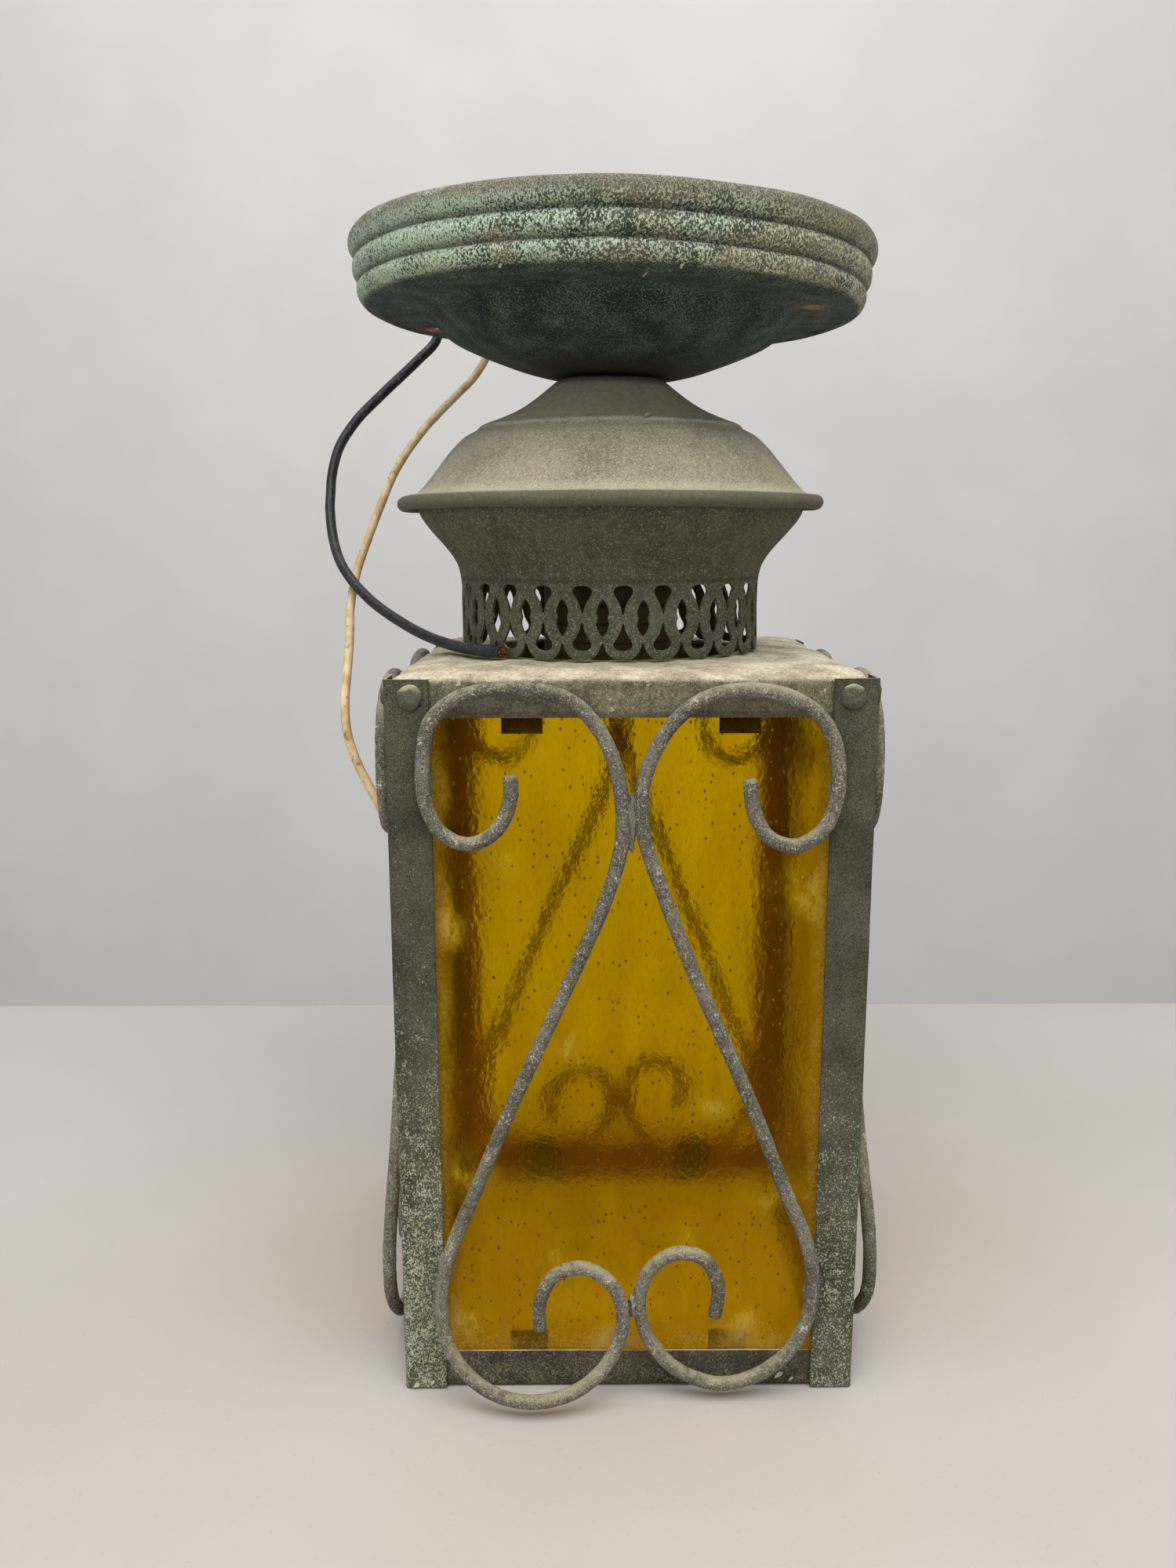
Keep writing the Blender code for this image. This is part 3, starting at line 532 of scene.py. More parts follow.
def piece(name, surface, finish, nodes=(), sharp=35, lumps=None):
    """A finished mesh piece from a surface, which is (points in millimetres, faces).

    lumps is the (depth, size, seed) of a gentle unevenness.
    """
    verts, faces = surface
    points = np.asarray(verts, float)
    if lumps is not None:
        depth, size, seed = lumps
        shifts = [noise.noise_vector(Vector(p) / size + Vector((seed, seed, seed))) for p in points]
        points = points + np.array(shifts) * depth
    points = np.clip(points * MM, np.array(cad_low), np.array(cad_high))
    mesh = bpy.data.meshes.new(name)
    mesh.from_pydata(points.tolist(), [], [list(map(int, face)) for face in faces])
    work = bmesh.new()
    work.from_mesh(mesh)
    bmesh.ops.remove_doubles(work, verts=work.verts, dist=0.000001)
    bmesh.ops.recalc_face_normals(work, faces=work.faces)
    work.to_mesh(mesh)
    work.free()
    made = bpy.data.objects.new(name, mesh)
    return show(made, finish, nodes, sharp)


def show(made, finish, nodes=(), sharp=35):
    """Link an object, shade it smooth, and tie it to the frame."""
    bpy.context.scene.collection.objects.link(made)
    made.data.materials.clear()
    made.data.materials.append(finish)
    if made.type == "MESH":
        made.data.shade_smooth()
        made.data.set_sharp_from_angle(angle=math.radians(sharp))
    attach(made, ROOT)
    if nodes:
        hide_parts(*nodes)
    return made


def baked(made):
    """Apply a mesh object's modifiers."""
    bpy.context.view_layer.update()
    evaluated = made.evaluated_get(bpy.context.evaluated_depsgraph_get())
    mesh = bpy.data.meshes.new_from_object(evaluated)
    made.modifiers.clear()
    made.data = mesh
    return mesh


def skin(rings, closed_way=False):
    """A surface over rings of points: an array of rings, points round each, and x y z."""
    rings = np.asarray(rings, float)
    count, around = rings.shape[:2]
    i = np.arange(count if closed_way else count - 1)[:, None]
    j = np.arange(around)[None, :]
    after = (j + 1) % around
    above = (i + 1) % count
    corners = (i * around + j, i * around + after, above * around + after, above * around + j)
    return rings.reshape(-1, 3), np.stack(corners, -1).reshape(-1, 4).tolist()


def joined(surfaces):
    """Several surfaces as one."""
    verts, faces, start = [], [], 0
    for points, own_faces in surfaces:
        verts.append(np.asarray(points, float))
        faces += [[start + i for i in face] for face in own_faces]
        start += len(points)
    return np.concatenate(verts), faces


def placed(surface, matrix):
    """A surface moved by a matrix."""
    points, faces = surface
    matrix = np.array(matrix)
    return np.asarray(points) @ matrix[:3, :3].T + matrix[:3, 3], faces


def capped(rings):
    """A skin whose first and last rings are filled."""
    verts, faces = skin(rings)
    around = len(rings[0])
    last = len(verts) - around
    faces.append(list(range(around)))
    faces.append(list(range(last, last + around)))
    return verts, faces


def revolved(outline, steps):
    """Rings of points, one for each (radius, height) of an outline."""
    angles = np.arange(steps) * FULL_TURN / steps
    outline = np.asarray(outline, float)
    x = outline[:, :1] * np.cos(angles)
    y = outline[:, :1] * np.sin(angles)
    z = np.repeat(outline[:, 1:], steps, axis=1)
    return np.stack((x, y, z), -1)


def spun(outline, steps):
    """The surface of a ring whose section is a closed outline."""
    return skin(revolved(outline, steps), True)


def wave(x, y, z):
    """Smooth noise about zero."""
    return noise.noise(Vector((x, y, z)))


def arc(centre, radius, start, end, count):
    """Points on an arc, in degrees."""
    angles = np.radians(np.linspace(start, end, count))
    return [(centre[0] + radius * math.cos(a), centre[1] + radius * math.sin(a)) for a in angles]


def smooth_line(points, samples=12):
    """A centripetal curve through points of any dimension."""
    points = [np.asarray(p, float) for p in points]
    ends = [points[0] * 2 - points[1], *points, points[-1] * 2 - points[-2]]
    line = []
    for p0, p1, p2, p3 in zip(ends, ends[1:], ends[2:], ends[3:]):
        t1 = np.linalg.norm(p1 - p0) ** 0.5
        t2 = t1 + np.linalg.norm(p2 - p1) ** 0.5
        t3 = t2 + np.linalg.norm(p3 - p2) ** 0.5
        for i in range(samples):
            t = t1 + (t2 - t1) * i / samples
            a1 = p0 + (p1 - p0) * t / t1
            a2 = p1 + (p2 - p1) * (t - t1) / (t2 - t1)
            a3 = p2 + (p3 - p2) * (t - t2) / (t3 - t2)
            b1 = a1 + (a2 - a1) * t / t2
            b2 = a2 + (a3 - a2) * (t - t1) / (t3 - t1)
            line.append(b1 + (b2 - b1) * (t - t1) / (t2 - t1))
    return [*line, points[-1]]


def even_line(points, step):
    """The same line with points a fixed step apart."""
    points = np.asarray(points, float)
    lengths = np.concatenate(([0], np.cumsum(np.linalg.norm(np.diff(points, axis=0), axis=1))))
    marks = np.linspace(0, lengths[-1], max(2, round(lengths[-1] / step) + 1))
    return np.stack([np.interp(marks, lengths, points[:, k]) for k in range(points.shape[1])], -1)


def walled(outline, wall):
    """A closed outline of sheet metal: the outer line and, behind it, the same line wall millimetres in."""
    line = np.asarray(outline, float)
    along = np.gradient(line, axis=0)
    along /= np.linalg.norm(along, axis=1)[:, None]
    inner = line + wall * np.stack((along[:, 1], -along[:, 0]), -1)
    return np.concatenate((line, inner[::-1]))


# --- Hood, canopy and stem -----------------------------------------------------------------------

def canopy_outline():
    """The canopy's outer side, rim to seat: two full beads, a rounded third, a flat and a bowl."""
    line = [(72.8, 327.3), (73.6, 327.4), (74.4, 327.3)]
    for outer, top in ((76.2, 327.2), (75.1, 320.5)):
        for share in np.linspace(0.02, 1, 12):
            line.append((outer - 1.75 * abs(2 * share - 0.92) ** 2.6, top - 6.7 * share))
    third = [(73.1, 313.6), (73.75, 312.8), (73.9, 311.4), (73.3, 309.6), (71.9, 308.2), (69.6, 307.45)]
    flat = [(67.7, 306.85), (66.4, 307.3), (60.0, 307.15), (57.0, 307.3), (55.2, 306.8), (53.4, 306.2)]
    bowl = [
        (51.8, 304.4), (47.5, 300.6), (41.0, 297.4), (33.5, 294.5), (26.0, 292.0), (17.4, 290.2), (7.0, 289.95),
    ]
    return even_line(smooth_line(line + third + flat + bowl, 4), 0.55)


def build_canopy():
    shell = placed(spun(walled(canopy_outline(), SHEET), FINE_STEPS), LEAN)
    made = piece("canopy_shell", shell, CANOPY, ["canopy"], 45, (0.35, 24, 3))
    holes = bmesh.new()
    for spot in canopy_holes():
        place = Matrix.Translation(spot * MM) @ Matrix.Rotation(CANOPY_LEAN, 4, "Y")
        bmesh.ops.create_cone(
            holes, cap_ends=True, segments=40, radius1=CANOPY_HOLE_RADIUS * MM,
            radius2=CANOPY_HOLE_RADIUS * MM, depth=6 * MM, matrix=place,
        )
    mesh = bpy.data.meshes.new("holes")
    holes.to_mesh(mesh)
    holes.free()
    cutter = bpy.data.objects.new("holes", mesh)
    bpy.context.scene.collection.objects.link(cutter)
    boolean = made.modifiers.new("holes", "BOOLEAN")
    boolean.object = cutter
    baked(made)
    bpy.data.objects.remove(cutter, do_unlink=True)


def build_hood():
    """The hood's shell: a flared neck, a small step, a rounded shoulder and a rolled rim."""
    neck = [(7.0, 289.5), (14.4, 289.5), (15.9, 289.2), (17.2, 288.3)]
    flare = [(20.9, 285.4), (25.0, 282.4), (29.0, 280.0), (34.2, 277.6), (38.6, 275.9)]
    shoulder = [
        (39.3, 275.4), (39.7, 274.7), (43.5, 272.6), (47.2, 269.2), (50.3, 265.6), (53.6, 261.6), (56.8, 258.0),
    ]
    turn = [(58.9, 256.3), (60.4, 255.9)]
    roll = arc((61.8, 253.75), 2.15, 78, -150, 22)
    line = even_line(smooth_line(neck + flare + shoulder + turn + roll, 5), 0.5)
    shell = spun(walled(line, 0.7), FINE_STEPS)
    piece("hood_shell", shell, HOOD, ["hood"], 45, (0.45, 22, 5))


def thread_rings(radius, depth, pitch, low, high, step, around):
    """Rings up a threaded bar: the radius dips once a pitch, along a helix."""
    angles = np.arange(around) * FULL_TURN / around
    rings = []
    for z in np.arange(low, high + step / 2, step):
        fade = min(1.0, (z - low) / pitch + 0.15, (high - z) / pitch + 0.15)
        groove = 0.5 + 0.5 * np.cos(FULL_TURN * z / pitch - angles)
        r = radius - depth * fade * groove
        rings.append(np.stack((r * np.cos(angles), r * np.sin(angles), np.full(around, z)), -1))
    return rings


def build_stem():
    low, high = span("stem_nipple")
    bore = 4.7
    outside = thread_rings(high.x - 0.02, 0.55, 1.41, low.z, high.z, 0.2, 48)
    rim = revolved([(bore + 0.3, high.z), (bore, high.z - 0.3)], 48)
    bottom = revolved([(bore, low.z)], 48)
    stem = skin(np.concatenate((outside, rim, bottom)), True)
    piece("threaded_stem", stem, BRASS, ["stem_nipple"])
    for part in ("canopy", "hood"):
        build_nut(f"{part}_hex_nut", f"{part}_locknut")
    low, high = span("canopy_washer")
    outline = [
        (6.9, low.z), (12.1, low.z), (12.5, low.z + 0.3),
        (12.5, high.z - 0.3), (12.1, high.z), (6.9, high.z),
    ]
    piece("flat_washer", spun(outline, 64), STEEL, ["canopy_washer"], 35, (0.06, 5, 2))


def build_nut(name, node):
    """A hexagon nut with its corners turned down at both ends."""
    node_low, node_high = span(node)
    low, high, corner = node_low.z, node_high.z, node_high.x
    around = 120
    angles = np.arange(around) * FULL_TURN / around
    sixth = math.pi / 3
    hexagon = corner * math.cos(sixth / 2) / np.cos((angles % sixth) - sixth / 2)
    flat = corner * 0.89
    rings = []
    turned = (
        (flat, low), (corner * 0.96, low + 0.45), (corner, low + 0.9),
        (corner, high - 0.9), (corner * 0.96, high - 0.45), (flat, high),
    )
    for limit, z in turned:
        r = np.minimum(hexagon, limit)
        rings.append(np.stack((r * np.cos(angles), r * np.sin(angles), np.full(around, z)), -1))
    bore = revolved([(7.2, high), (6.9, high - 0.3), (6.9, low + 0.3), (7.2, low)], around)
    nut = skin(np.concatenate((rings, bore)), True)
    piece(name, nut, STEEL, [node], 30, (0.05, 6, 4))


def build_socket():
    """The lamp socket: domed cap, ribbed body, rolled-thread screw shell and a sprung centre contact."""
    cap = [
        (6.9, 270), (8.2, 270), (8.8, 269.4), (8.8, 263.2), (9.6, 262.2), (14.0, 260.6), (18.4, 257.6),
        (20.2, 254.4), (20.4, 253.0), (20.4, 249.4), (20.0, 249.0), (19.6, 249.4), (19.6, 252.8),
        (17.8, 256.8), (13.7, 259.6), (6.9, 261.2),
    ]
    piece("socket_dome", spun(cap, 96), STEEL, ["socket_cap"])
    ribs = [(20.2 - 0.5 * (math.cos(z * 1.15) > 0.93), z) for z in np.arange(199, 246.1, 0.5)]
    body = [
        (15.2, 197.0), (15.6, 196.6), (18.8, 196.6), (19.8, 197.4), (20.2, 198.4), *ribs, (20.2, 248.4),
        (19.2, 248.7), (19.2, 252.4), (16.0, 254.6), (4.2, 254.6), (4.0, 236.0), (15.2, 236.0),
    ]
    piece("socket_insulator", spun(body, 96), INSULATOR, ["socket_body"])
    low, high = span("socket_screw_shell")
    outer, inner = (thread_rings(high.x - gap, 0.6, 3.6, low.z, high.z, 0.45, 72) for gap in (0.02, 0.42))
    shell = skin(np.concatenate((outer, inner[::-1])), True)
    piece("socket_thread", shell, BRASS, ["socket_screw_shell"])
    contact = [
        (0, 235.7), (5.1, 235.7), (5.4, 235.4), (5.2, 235.0),
        (3.6, 234.5), (2.6, 233.8), (1.6, 233.6), (0, 233.6),
    ]
    piece("socket_centre", skin(revolved(contact, 48)), BRASS, ["socket_contact"])


# --- Gallery -------------------------------------------------------------------------------------

PIERCINGS = 25
BAND_RADIUS = 45.2
PITCH = FULL_TURN * BAND_RADIUS / PIERCINGS
FIRST_COLUMN = math.radians(-90 + 3.7)
CELL_RIGHT = 3.2
GALLERY_SHARP = 40


def mirrored_outline(right_side):
    """A closed hole outline from its right side, bottom to top, smoothed."""
    side = np.array(smooth_line(right_side, 3))
    left = side[::-1] * np.array((-1, 1))
    whole = np.concatenate((side, left))
    keep = [whole[0]]
    for point in whole[1:]:
        if np.linalg.norm(point - keep[-1]) > 0.05 and np.linalg.norm(point - keep[0]) > 0.05:
            keep.append(point)
    return np.array(keep)


def band_profile():
    """Arc length against radius and height for the gallery's outer side, foot to lip."""
    straight = [(BAND_RADIUS, z) for z in np.linspace(band_low.z, 230.4, 12)]
    flare = [
        (45.5, 232.8), (46.4, 236.0), (49.0, 239.9), (53.6, 245.0), (57.0, 249.4), (58.0, 252.0), (57.7, 254.3),
    ]
    line = even_line(smooth_line(straight + flare, 4), 0.4)
    lengths = np.concatenate(([0], np.cumsum(np.linalg.norm(np.diff(line, axis=0), axis=1))))
    return lengths, line


def band_cell(height):
    """One repeat of the pierced band, unrolled: points (across, up) and triangles, without the holes."""
    fan = mirrored_outline([
        (0.0, 0.0), (0.28, 0.3), (0.5, 1.3), (1.05, 2.9), (1.95, 4.4), (2.62, 5.5), (2.66, 6.4), (2.1, 7.2),
        (1.15, 7.6), (0.0, 7.75),
    ])
    waisted = mirrored_outline([
        (0.0, 0.0), (0.7, 0.8), (1.4, 2.1), (1.76, 3.3), (1.72, 4.2), (1.38, 5.2), (1.72, 6.2), (1.76, 7.1),
        (1.4, 8.3), (0.7, 9.6), (0.0, 10.4),
    ])
    drop = fan[::-1] * np.array((1, -1)) + np.array((0, 7.75))
    foot = band_low.z
    holes = [fan + (0, 223.0 - foot), drop + (0, 212.8 - foot), waisted + (-PITCH / 2, 216.7 - foot)]
    left, right = CELL_RIGHT - PITCH, CELL_RIGHT
    bottom = []
    for x in np.linspace(left, right, 26):
        from_lobe = min(abs(x), abs(x + PITCH))
        bottom.append((x, max(0.0, 5.6 - math.sqrt(max(0.0, 5.6**2 - from_lobe**2)) - 0.35) * 1.15))
    ups = np.linspace(bottom[0][1], height, 50)[1:]
    border = bottom + [(right, up) for up in ups[:-1]] + [(x, height) for x in np.linspace(right, left, 14)]
    border += [(left, up) for up in ups[:-1][::-1]]
    points = [Vector(p) for p in border]
    loops = [list(range(len(points)))]
    for hole in holes:
        start = len(points)
        points += [Vector(p) for p in hole]
        loops.append(list(range(start, len(points))))
    for x in np.arange(left + 0.9, right - 0.3, 0.9):
        for up in np.arange(1.9, height - 0.4, 0.9):
            spot = np.array((x, up))
            if all(np.linalg.norm(hole - spot, axis=1).min() > 0.45 for hole in holes):
                points.append(Vector(spot))
    made, _, triangles, _, _, owners = delaunay_2d_cdt(points, [], loops, 1, 0.0005)
    kept = [t for t, owner in zip(triangles, owners) if owner == [0]]
    return np.array([tuple(p) for p in made]), kept


def build_gallery():
    lengths, line = band_profile()
    flat, triangles = band_cell(lengths[-1])
    radius = np.interp(flat[:, 1], lengths, line[:, 0])
    height = np.interp(flat[:, 1], lengths, line[:, 1])
    repeats = []
    for column in range(PIERCINGS):
        angle = FIRST_COLUMN + column * FULL_TURN / PIERCINGS + flat[:, 0] / BAND_RADIUS
        repeats.append((np.stack((radius * np.cos(angle), radius * np.sin(angle), height), -1), triangles))
    band = joined(repeats)
    made = piece("pierced_gallery", band, GALLERY, ["gallery"], GALLERY_SHARP, (0.3, 14, 7))
    solid = made.modifiers.new("sheet", "SOLIDIFY")
    solid.thickness = SHEET * MM
    solid.offset = -1
    mesh = baked(made)
    mesh.shade_smooth()
    mesh.set_sharp_from_angle(angle=math.radians(GALLERY_SHARP))


# --- The glazed box ------------------------------------------------------------------------------

def square_ring(half, power, side_points=56):
    """Points round a square with rounded corners, crowded at its corners."""
    u = np.sin(np.linspace(-1, 1, side_points, endpoint=False) * math.pi / 2)
    angles = np.concatenate([np.arctan(u) + k * math.pi / 2 for k in range(4)])
    c, s = np.abs(np.cos(angles)), np.abs(np.sin(angles))
    reach = half / (c**power + s**power) ** (1 / power)
    return np.stack((reach * np.cos(angles), reach * np.sin(angles)), -1), angles


def square_rings(outline, power):
    """Rings for a square shape whose outline is (half width, height)."""
    rings = []
    for half, z in outline:
        flat = square_ring(half, power)[0]
        rings.append(np.column_stack((flat[:, 0] + BOX_X, flat[:, 1], np.full(len(flat), z))))
    return np.array(rings)


def cap_height_wave(x, y):
    """How far the lid dips at a point, from its dents."""
    return -0.45 + 0.55 * (wave(x / 21, y / 21, 4.0) + 0.5 * wave(x / 8, y / 8, 9.0))


def clamp(value):
    return min(1.0, max(0.0, value))


def build_top_cap():
    """The lid: a dented plate round the vent, a soft folded edge and a skirt."""
    top = cap_high.z
    outer = [(40.1, top - 0.8, 1.0), (40.0, top - 0.4, 1.0), (40.2, top, 1.0)]
    outer += [(h, top, (52 - h) / 12) for h in (41.5, 43, 45, 47, 49, 51)]
    outer += [(h, top - 1.5 * ((h - 51) / 10.5) ** 1.6, 0.0) for h in (53, 55, 57, 58.5, 59.8, 60.8, 61.5)]
    outer += [(h, z, 0.0) for h, z in arc((61.2, 205.7), 2.7, 82, 2, 9)]
    outer += [(63.9, z, 0.0) for z in (204.6, 203, 201, 199.2, 197.6)]
    outer += [(63.8, 197.05, 0.0), (63.4, 197.0, 0.0), (63.1, 197.3, 0.0)]
    inner = [(h - 0.8, z - 0.1, 0.0) for h, z, _ in outer[-9:-4]][::-1]
    inner += [(h, top - 0.8 - 1.5 * ((h - 51) / 10.5) ** 1.6, 0.0) for h in (60.6, 58.5, 55, 53)]
    inner += [(h, top - 0.8, (52 - h) / 12) for h in (51, 47, 43)]
    rings = []
    for half, z, roundness in outer + inner:
        flat, angles = square_ring(max(half, 41), 34)
        circle = np.stack((half * np.cos(angles) - BOX_X, half * np.sin(angles)), -1)
        share = clamp(roundness)
        flat = flat * (1 - share) + circle * share
        dips = np.array([cap_height_wave(x, y) for x, y in flat])
        on_plate = clamp((z - 203) / 5) * clamp((half - 40) / 6)
        pinch = np.array([min(0.0, wave(x / 17, y / 17, 2.0) - 0.15) for x, y in flat])
        pull = 1 + pinch * 0.02 * clamp((z - 200) / 5)
        rings.append(np.column_stack((flat[:, 0] * pull + BOX_X, flat[:, 1] * pull, z + dips * on_plate)))
    piece("lid", skin(rings, True), CAP, ["top_cap"], 50)


def build_bottom_frame():
    """The bottom rail: an upright plate with a worn upper lip, and a flange turned in under the panes."""
    rail, lip = RAIL_HALF, rail_high.z
    outer = [
        (63.5, lip), (63.75, lip - 0.1), (rail, lip - 0.4), (rail, 8),
        (rail, 4), (rail, 0.6), (63.6, 0.1), (63.2, 0),
    ]
    flange = [(60, 0), (57.2, 0), (57, 0.3), (57.2, 0.75), (60, 0.8), (62.6, 0.8), (63.0, 1.1)]
    inner = [(63.05, 4), (63.05, 8), (63.05, lip - 0.3), (63.2, lip - 0.05)]
    rail_surface = skin(square_rings(outer + flange + inner, 70), True)
    piece("bottom_rail", rail_surface, RAIL, ["bottom_frame"], 40, (0.12, 16, 8))


def corner_turn(corner):
    """Turns points from the front left corner's place to another corner's, about the box's own axis."""
    return Matrix.Translation((BOX_X, 0, 0)) @ Matrix.Rotation(corner * math.pi / 2, 4, "Z")


def build_strips():
    """The corner strips: an angle with a soft outer bend, and slightly wavy legs."""
    half, leg, bend = BOX_HALF, strip_high.x - strip_low.x, 1.1
    outer = [(leg - half, -half + 0.25), (leg - half - 0.2, -half)]
    outer += [(x - half, -half) for x in (9.6, 7.2, 4.8, 3.0, 1.8)]
    outer += arc((bend - half, bend - half), bend, 270, 180, 7)
    outer += [(-half, y - half) for y in (1.8, 3.0, 4.8, 7.2, 9.6)]
    outer += [(-half, leg - half - 0.2), (-half + 0.25, leg - half)]
    inner = [(SHEET - half - 0.2, leg - half), (SHEET - half, leg - half - 0.25)]
    inner += [(SHEET - half, y - half) for y in (9.6, 7.2, 4.8, 2.6)]
    inner += arc((bend + 0.2 - half, bend + 0.2 - half), bend + 0.2 - SHEET, 180, 270, 4)
    inner += [(x - half, SHEET - half) for x in (2.6, 4.8, 7.2, 9.6)]
    inner += [(leg - half - 0.25, SHEET - half), (leg - half, SHEET - half - 0.2)]
    plan = np.array(outer + inner)
    foot, head = strip_low.z, strip_high.z
    heights = [foot, *np.linspace(foot + 0.3, head - 0.3, 84), head]
    for corner, name in enumerate(CORNERS):
        rings = []
        for z in heights:
            sway = 0.14 * wave(corner * 7.0, 0.0, z / 26)
            flare = 0.10 * wave(corner * 7.0, 5.0, z / 11)
            shifted = plan + np.array((sway, flare)) * (plan + half) / leg
            rings.append(np.column_stack((shifted, np.full(len(plan), z))))
        strip = placed(capped(rings), corner_turn(corner))
        piece(f"strip_{name}", strip, STRIP, [f"corner_strip_{name}"], 40, (0.07, 9, corner))


def build_rivets():
    """Domed rivet heads, hammered a little out of round."""
    dome = [
        (0.0, 1.7), (0.9, 1.67), (1.7, 1.52), (2.4, 1.26), (3.0, 0.86), (3.36, 0.42), (3.38, 0.12), (3.1, 0.04),
    ]
    shank = [(1.6, 0.0), (1.6, -2.2), (2.4, -2.2), (2.2, -2.8), (1.2, -3.0), (0.0, -3.0)]
    head = skin(revolved(dome + shank, 40))
    for corner, name in enumerate(CORNERS):
        for mark in "ab":
            low, high = span(f"rivet_{name}_{mark}")
            middle = (low + high) / 2
            if high.y - low.y < high.x - low.x:
                side = 1 if middle.y > 0 else -1
                spot, turn, axis = (middle.x, side * BOX_HALF, middle.z), -side, "X"
            else:
                side = 1 if middle.x > BOX_X else -1
                spot, turn, axis = (BOX_X + side * BOX_HALF, middle.y, middle.z), side, "Y"
            rivet = placed(head, Matrix.Translation(spot) @ Matrix.Rotation(turn * math.pi / 2, 4, axis))
            seed = corner * 3 + (mark == "b")
            piece(
                f"rivet_head_{name}_{mark}", rivet, RIVET, [f"rivet_{name}_{mark}"], 50,
                (0.32, 1.9, seed),
            )


def build_glass():
    """The panes: both faces roll gently, and the rim is cut."""
    across = np.linspace(-PANE_HALF, PANE_HALF, 90)
    up = np.linspace(pane_low.z, pane_high.z, 150)
    for face, name in enumerate(FACES):
        rings = []
        for z in up:
            front, back = [], []
            for u in across:
                near_rim = min(1.0, (PANE_HALF - abs(u)) / 2, (z - up[0]) / 2, (up[-1] - z) / 2)
                seed = face * 9.0
                roll = wave(u / 16, z / 60, seed) + 0.4 * wave(u / 5, z / 16, seed)
                other = wave(u / 13, z / 40, seed + 4)
                front.append((u, -GLASS_FACE + 0.09 + 0.09 * roll * near_rim, z))
                back.append((u, -GLASS_FACE + GLASS_THICK - 0.09 + 0.09 * other * near_rim, z))
            rings.append(front + back[::-1])
        pane = placed(capped(rings), corner_turn(face))
        piece(f"pane_{name}", pane, GLASS, [f"glass_{name}"], 50)


# --- Bent rods -----------------------------------------------------------------------------------
# A route is (across, up, proud) on one side of the box: across to the right seen from outside, and
# proud out of the corner strips' outer plane, which is PROUD where it isn't given.

ROD_RADIUS = 2.0
ROD_STEP = 0.8
ROD_END = 1.1
PROUD = 2.4
LEFT_SCROLL = [
    (-31.8, 182.5), (-32.2, 174.8), (-36.3, 167.0), (-43.5, 163.8), (-50.6, 167.2), (-54.4, 175.5),
    (-54.8, 186.0), (-52.6, 196.4), (-46.0, 202.4), (-36.5, 205.0), (-26.5, 205.0), (-17.0, 202.6),
    (-9.4, 195.6), (-4.6, 185.8), (-2.5, 175.0), (-2.6, 163.5), (-6.3, 150.0), (-13.7, 132.0),
    (-24.0, 109.0), (-33.4, 88.0, 2.6), (-42.8, 65.0, 3.0), (-49.6, 48.5, 3.4), (-53.0, 36.0, 4.0),
    (-53.4, 26.5, 4.8), (-51.4, 17.6, 6.2), (-46.0, 10.6, 8.6), (-38.0, 6.2, 11.2), (-29.0, 4.8, 12.6),
    (-20.0, 5.6, 12.0), (-11.4, 9.4, 10.4), (-4.8, 16.6, 8.4), (-1.9, 26.8, 6.4), (-4.6, 35.6, 4.6),
    (-13.0, 40.4, 3.2), (-21.4, 37.6, 2.6), (-25.4, 29.6), (-25.6, 20.0),
]
RIGHT_SCROLL = [
    (31.1, 181.5), (32.2, 173.0), (36.4, 165.6), (43.0, 163.2), (50.0, 166.6), (53.8, 174.4),
    (54.4, 183.0), (52.8, 191.6), (48.4, 198.4), (40.4, 203.2), (29.8, 204.8), (19.4, 202.8),
    (11.0, 196.4), (5.2, 186.8), (2.7, 177.2), (3.4, 166.0), (8.0, 151.8), (16.0, 130.6), (27.0, 105.0),
    (36.2, 83.0), (43.6, 63.6, 2.5), (50.0, 48.0, 2.8), (52.2, 34.0, 3.0), (49.2, 20.0, 3.4),
    (41.0, 9.6, 4.0), (27.0, 4.4, 4.4), (13.4, 9.0, 4.0), (5.2, 19.0, 3.2), (2.9, 29.2, 2.6),
    (5.6, 39.0), (13.0, 44.4), (21.2, 42.6), (25.3, 34.6), (24.5, 24.2),
]
SCROLLS = {
    "front": ((LEFT_SCROLL, False, 0), (RIGHT_SCROLL, False, 0)),
    "right": ((RIGHT_SCROLL, True, 4.2), (RIGHT_SCROLL, False, 3.0)),
    "back": ((RIGHT_SCROLL, True, 2.0), (LEFT_SCROLL, True, 0)),
    "left": ((LEFT_SCROLL, False, 2.4), (RIGHT_SCROLL, False, 2.8)),
}


def bent_out(up):
    """The share of a low loop's lift at a height."""
    return max(0.0, min(1.0, (110.0 - up) / 80.0, (up - 2.0) / 20.0))


def tube(points, radius_at, around):
    """A closed tube round a line: rings square to it that don't twist."""
    points = [Vector(p) for p in points]
    side = Vector((0, 0, 1)).cross(points[1] - points[0])
    if side.length < 0.01:
        side = Vector((1, 0, 0))
    rings = []
    for i, point in enumerate(points):
        along = (points[min(i + 1, len(points) - 1)] - points[max(i - 1, 0)]).normalized()
        side = (side - along * side.dot(along)).normalized()
        other = along.cross(side)
        radius = radius_at(i)
        ring = []
        for k in range(around):
            angle = FULL_TURN * k / around
            ring.append(point + (side * math.cos(angle) + other * math.sin(angle)) * radius)
        rings.append([tuple(p) for p in ring])
    return rings


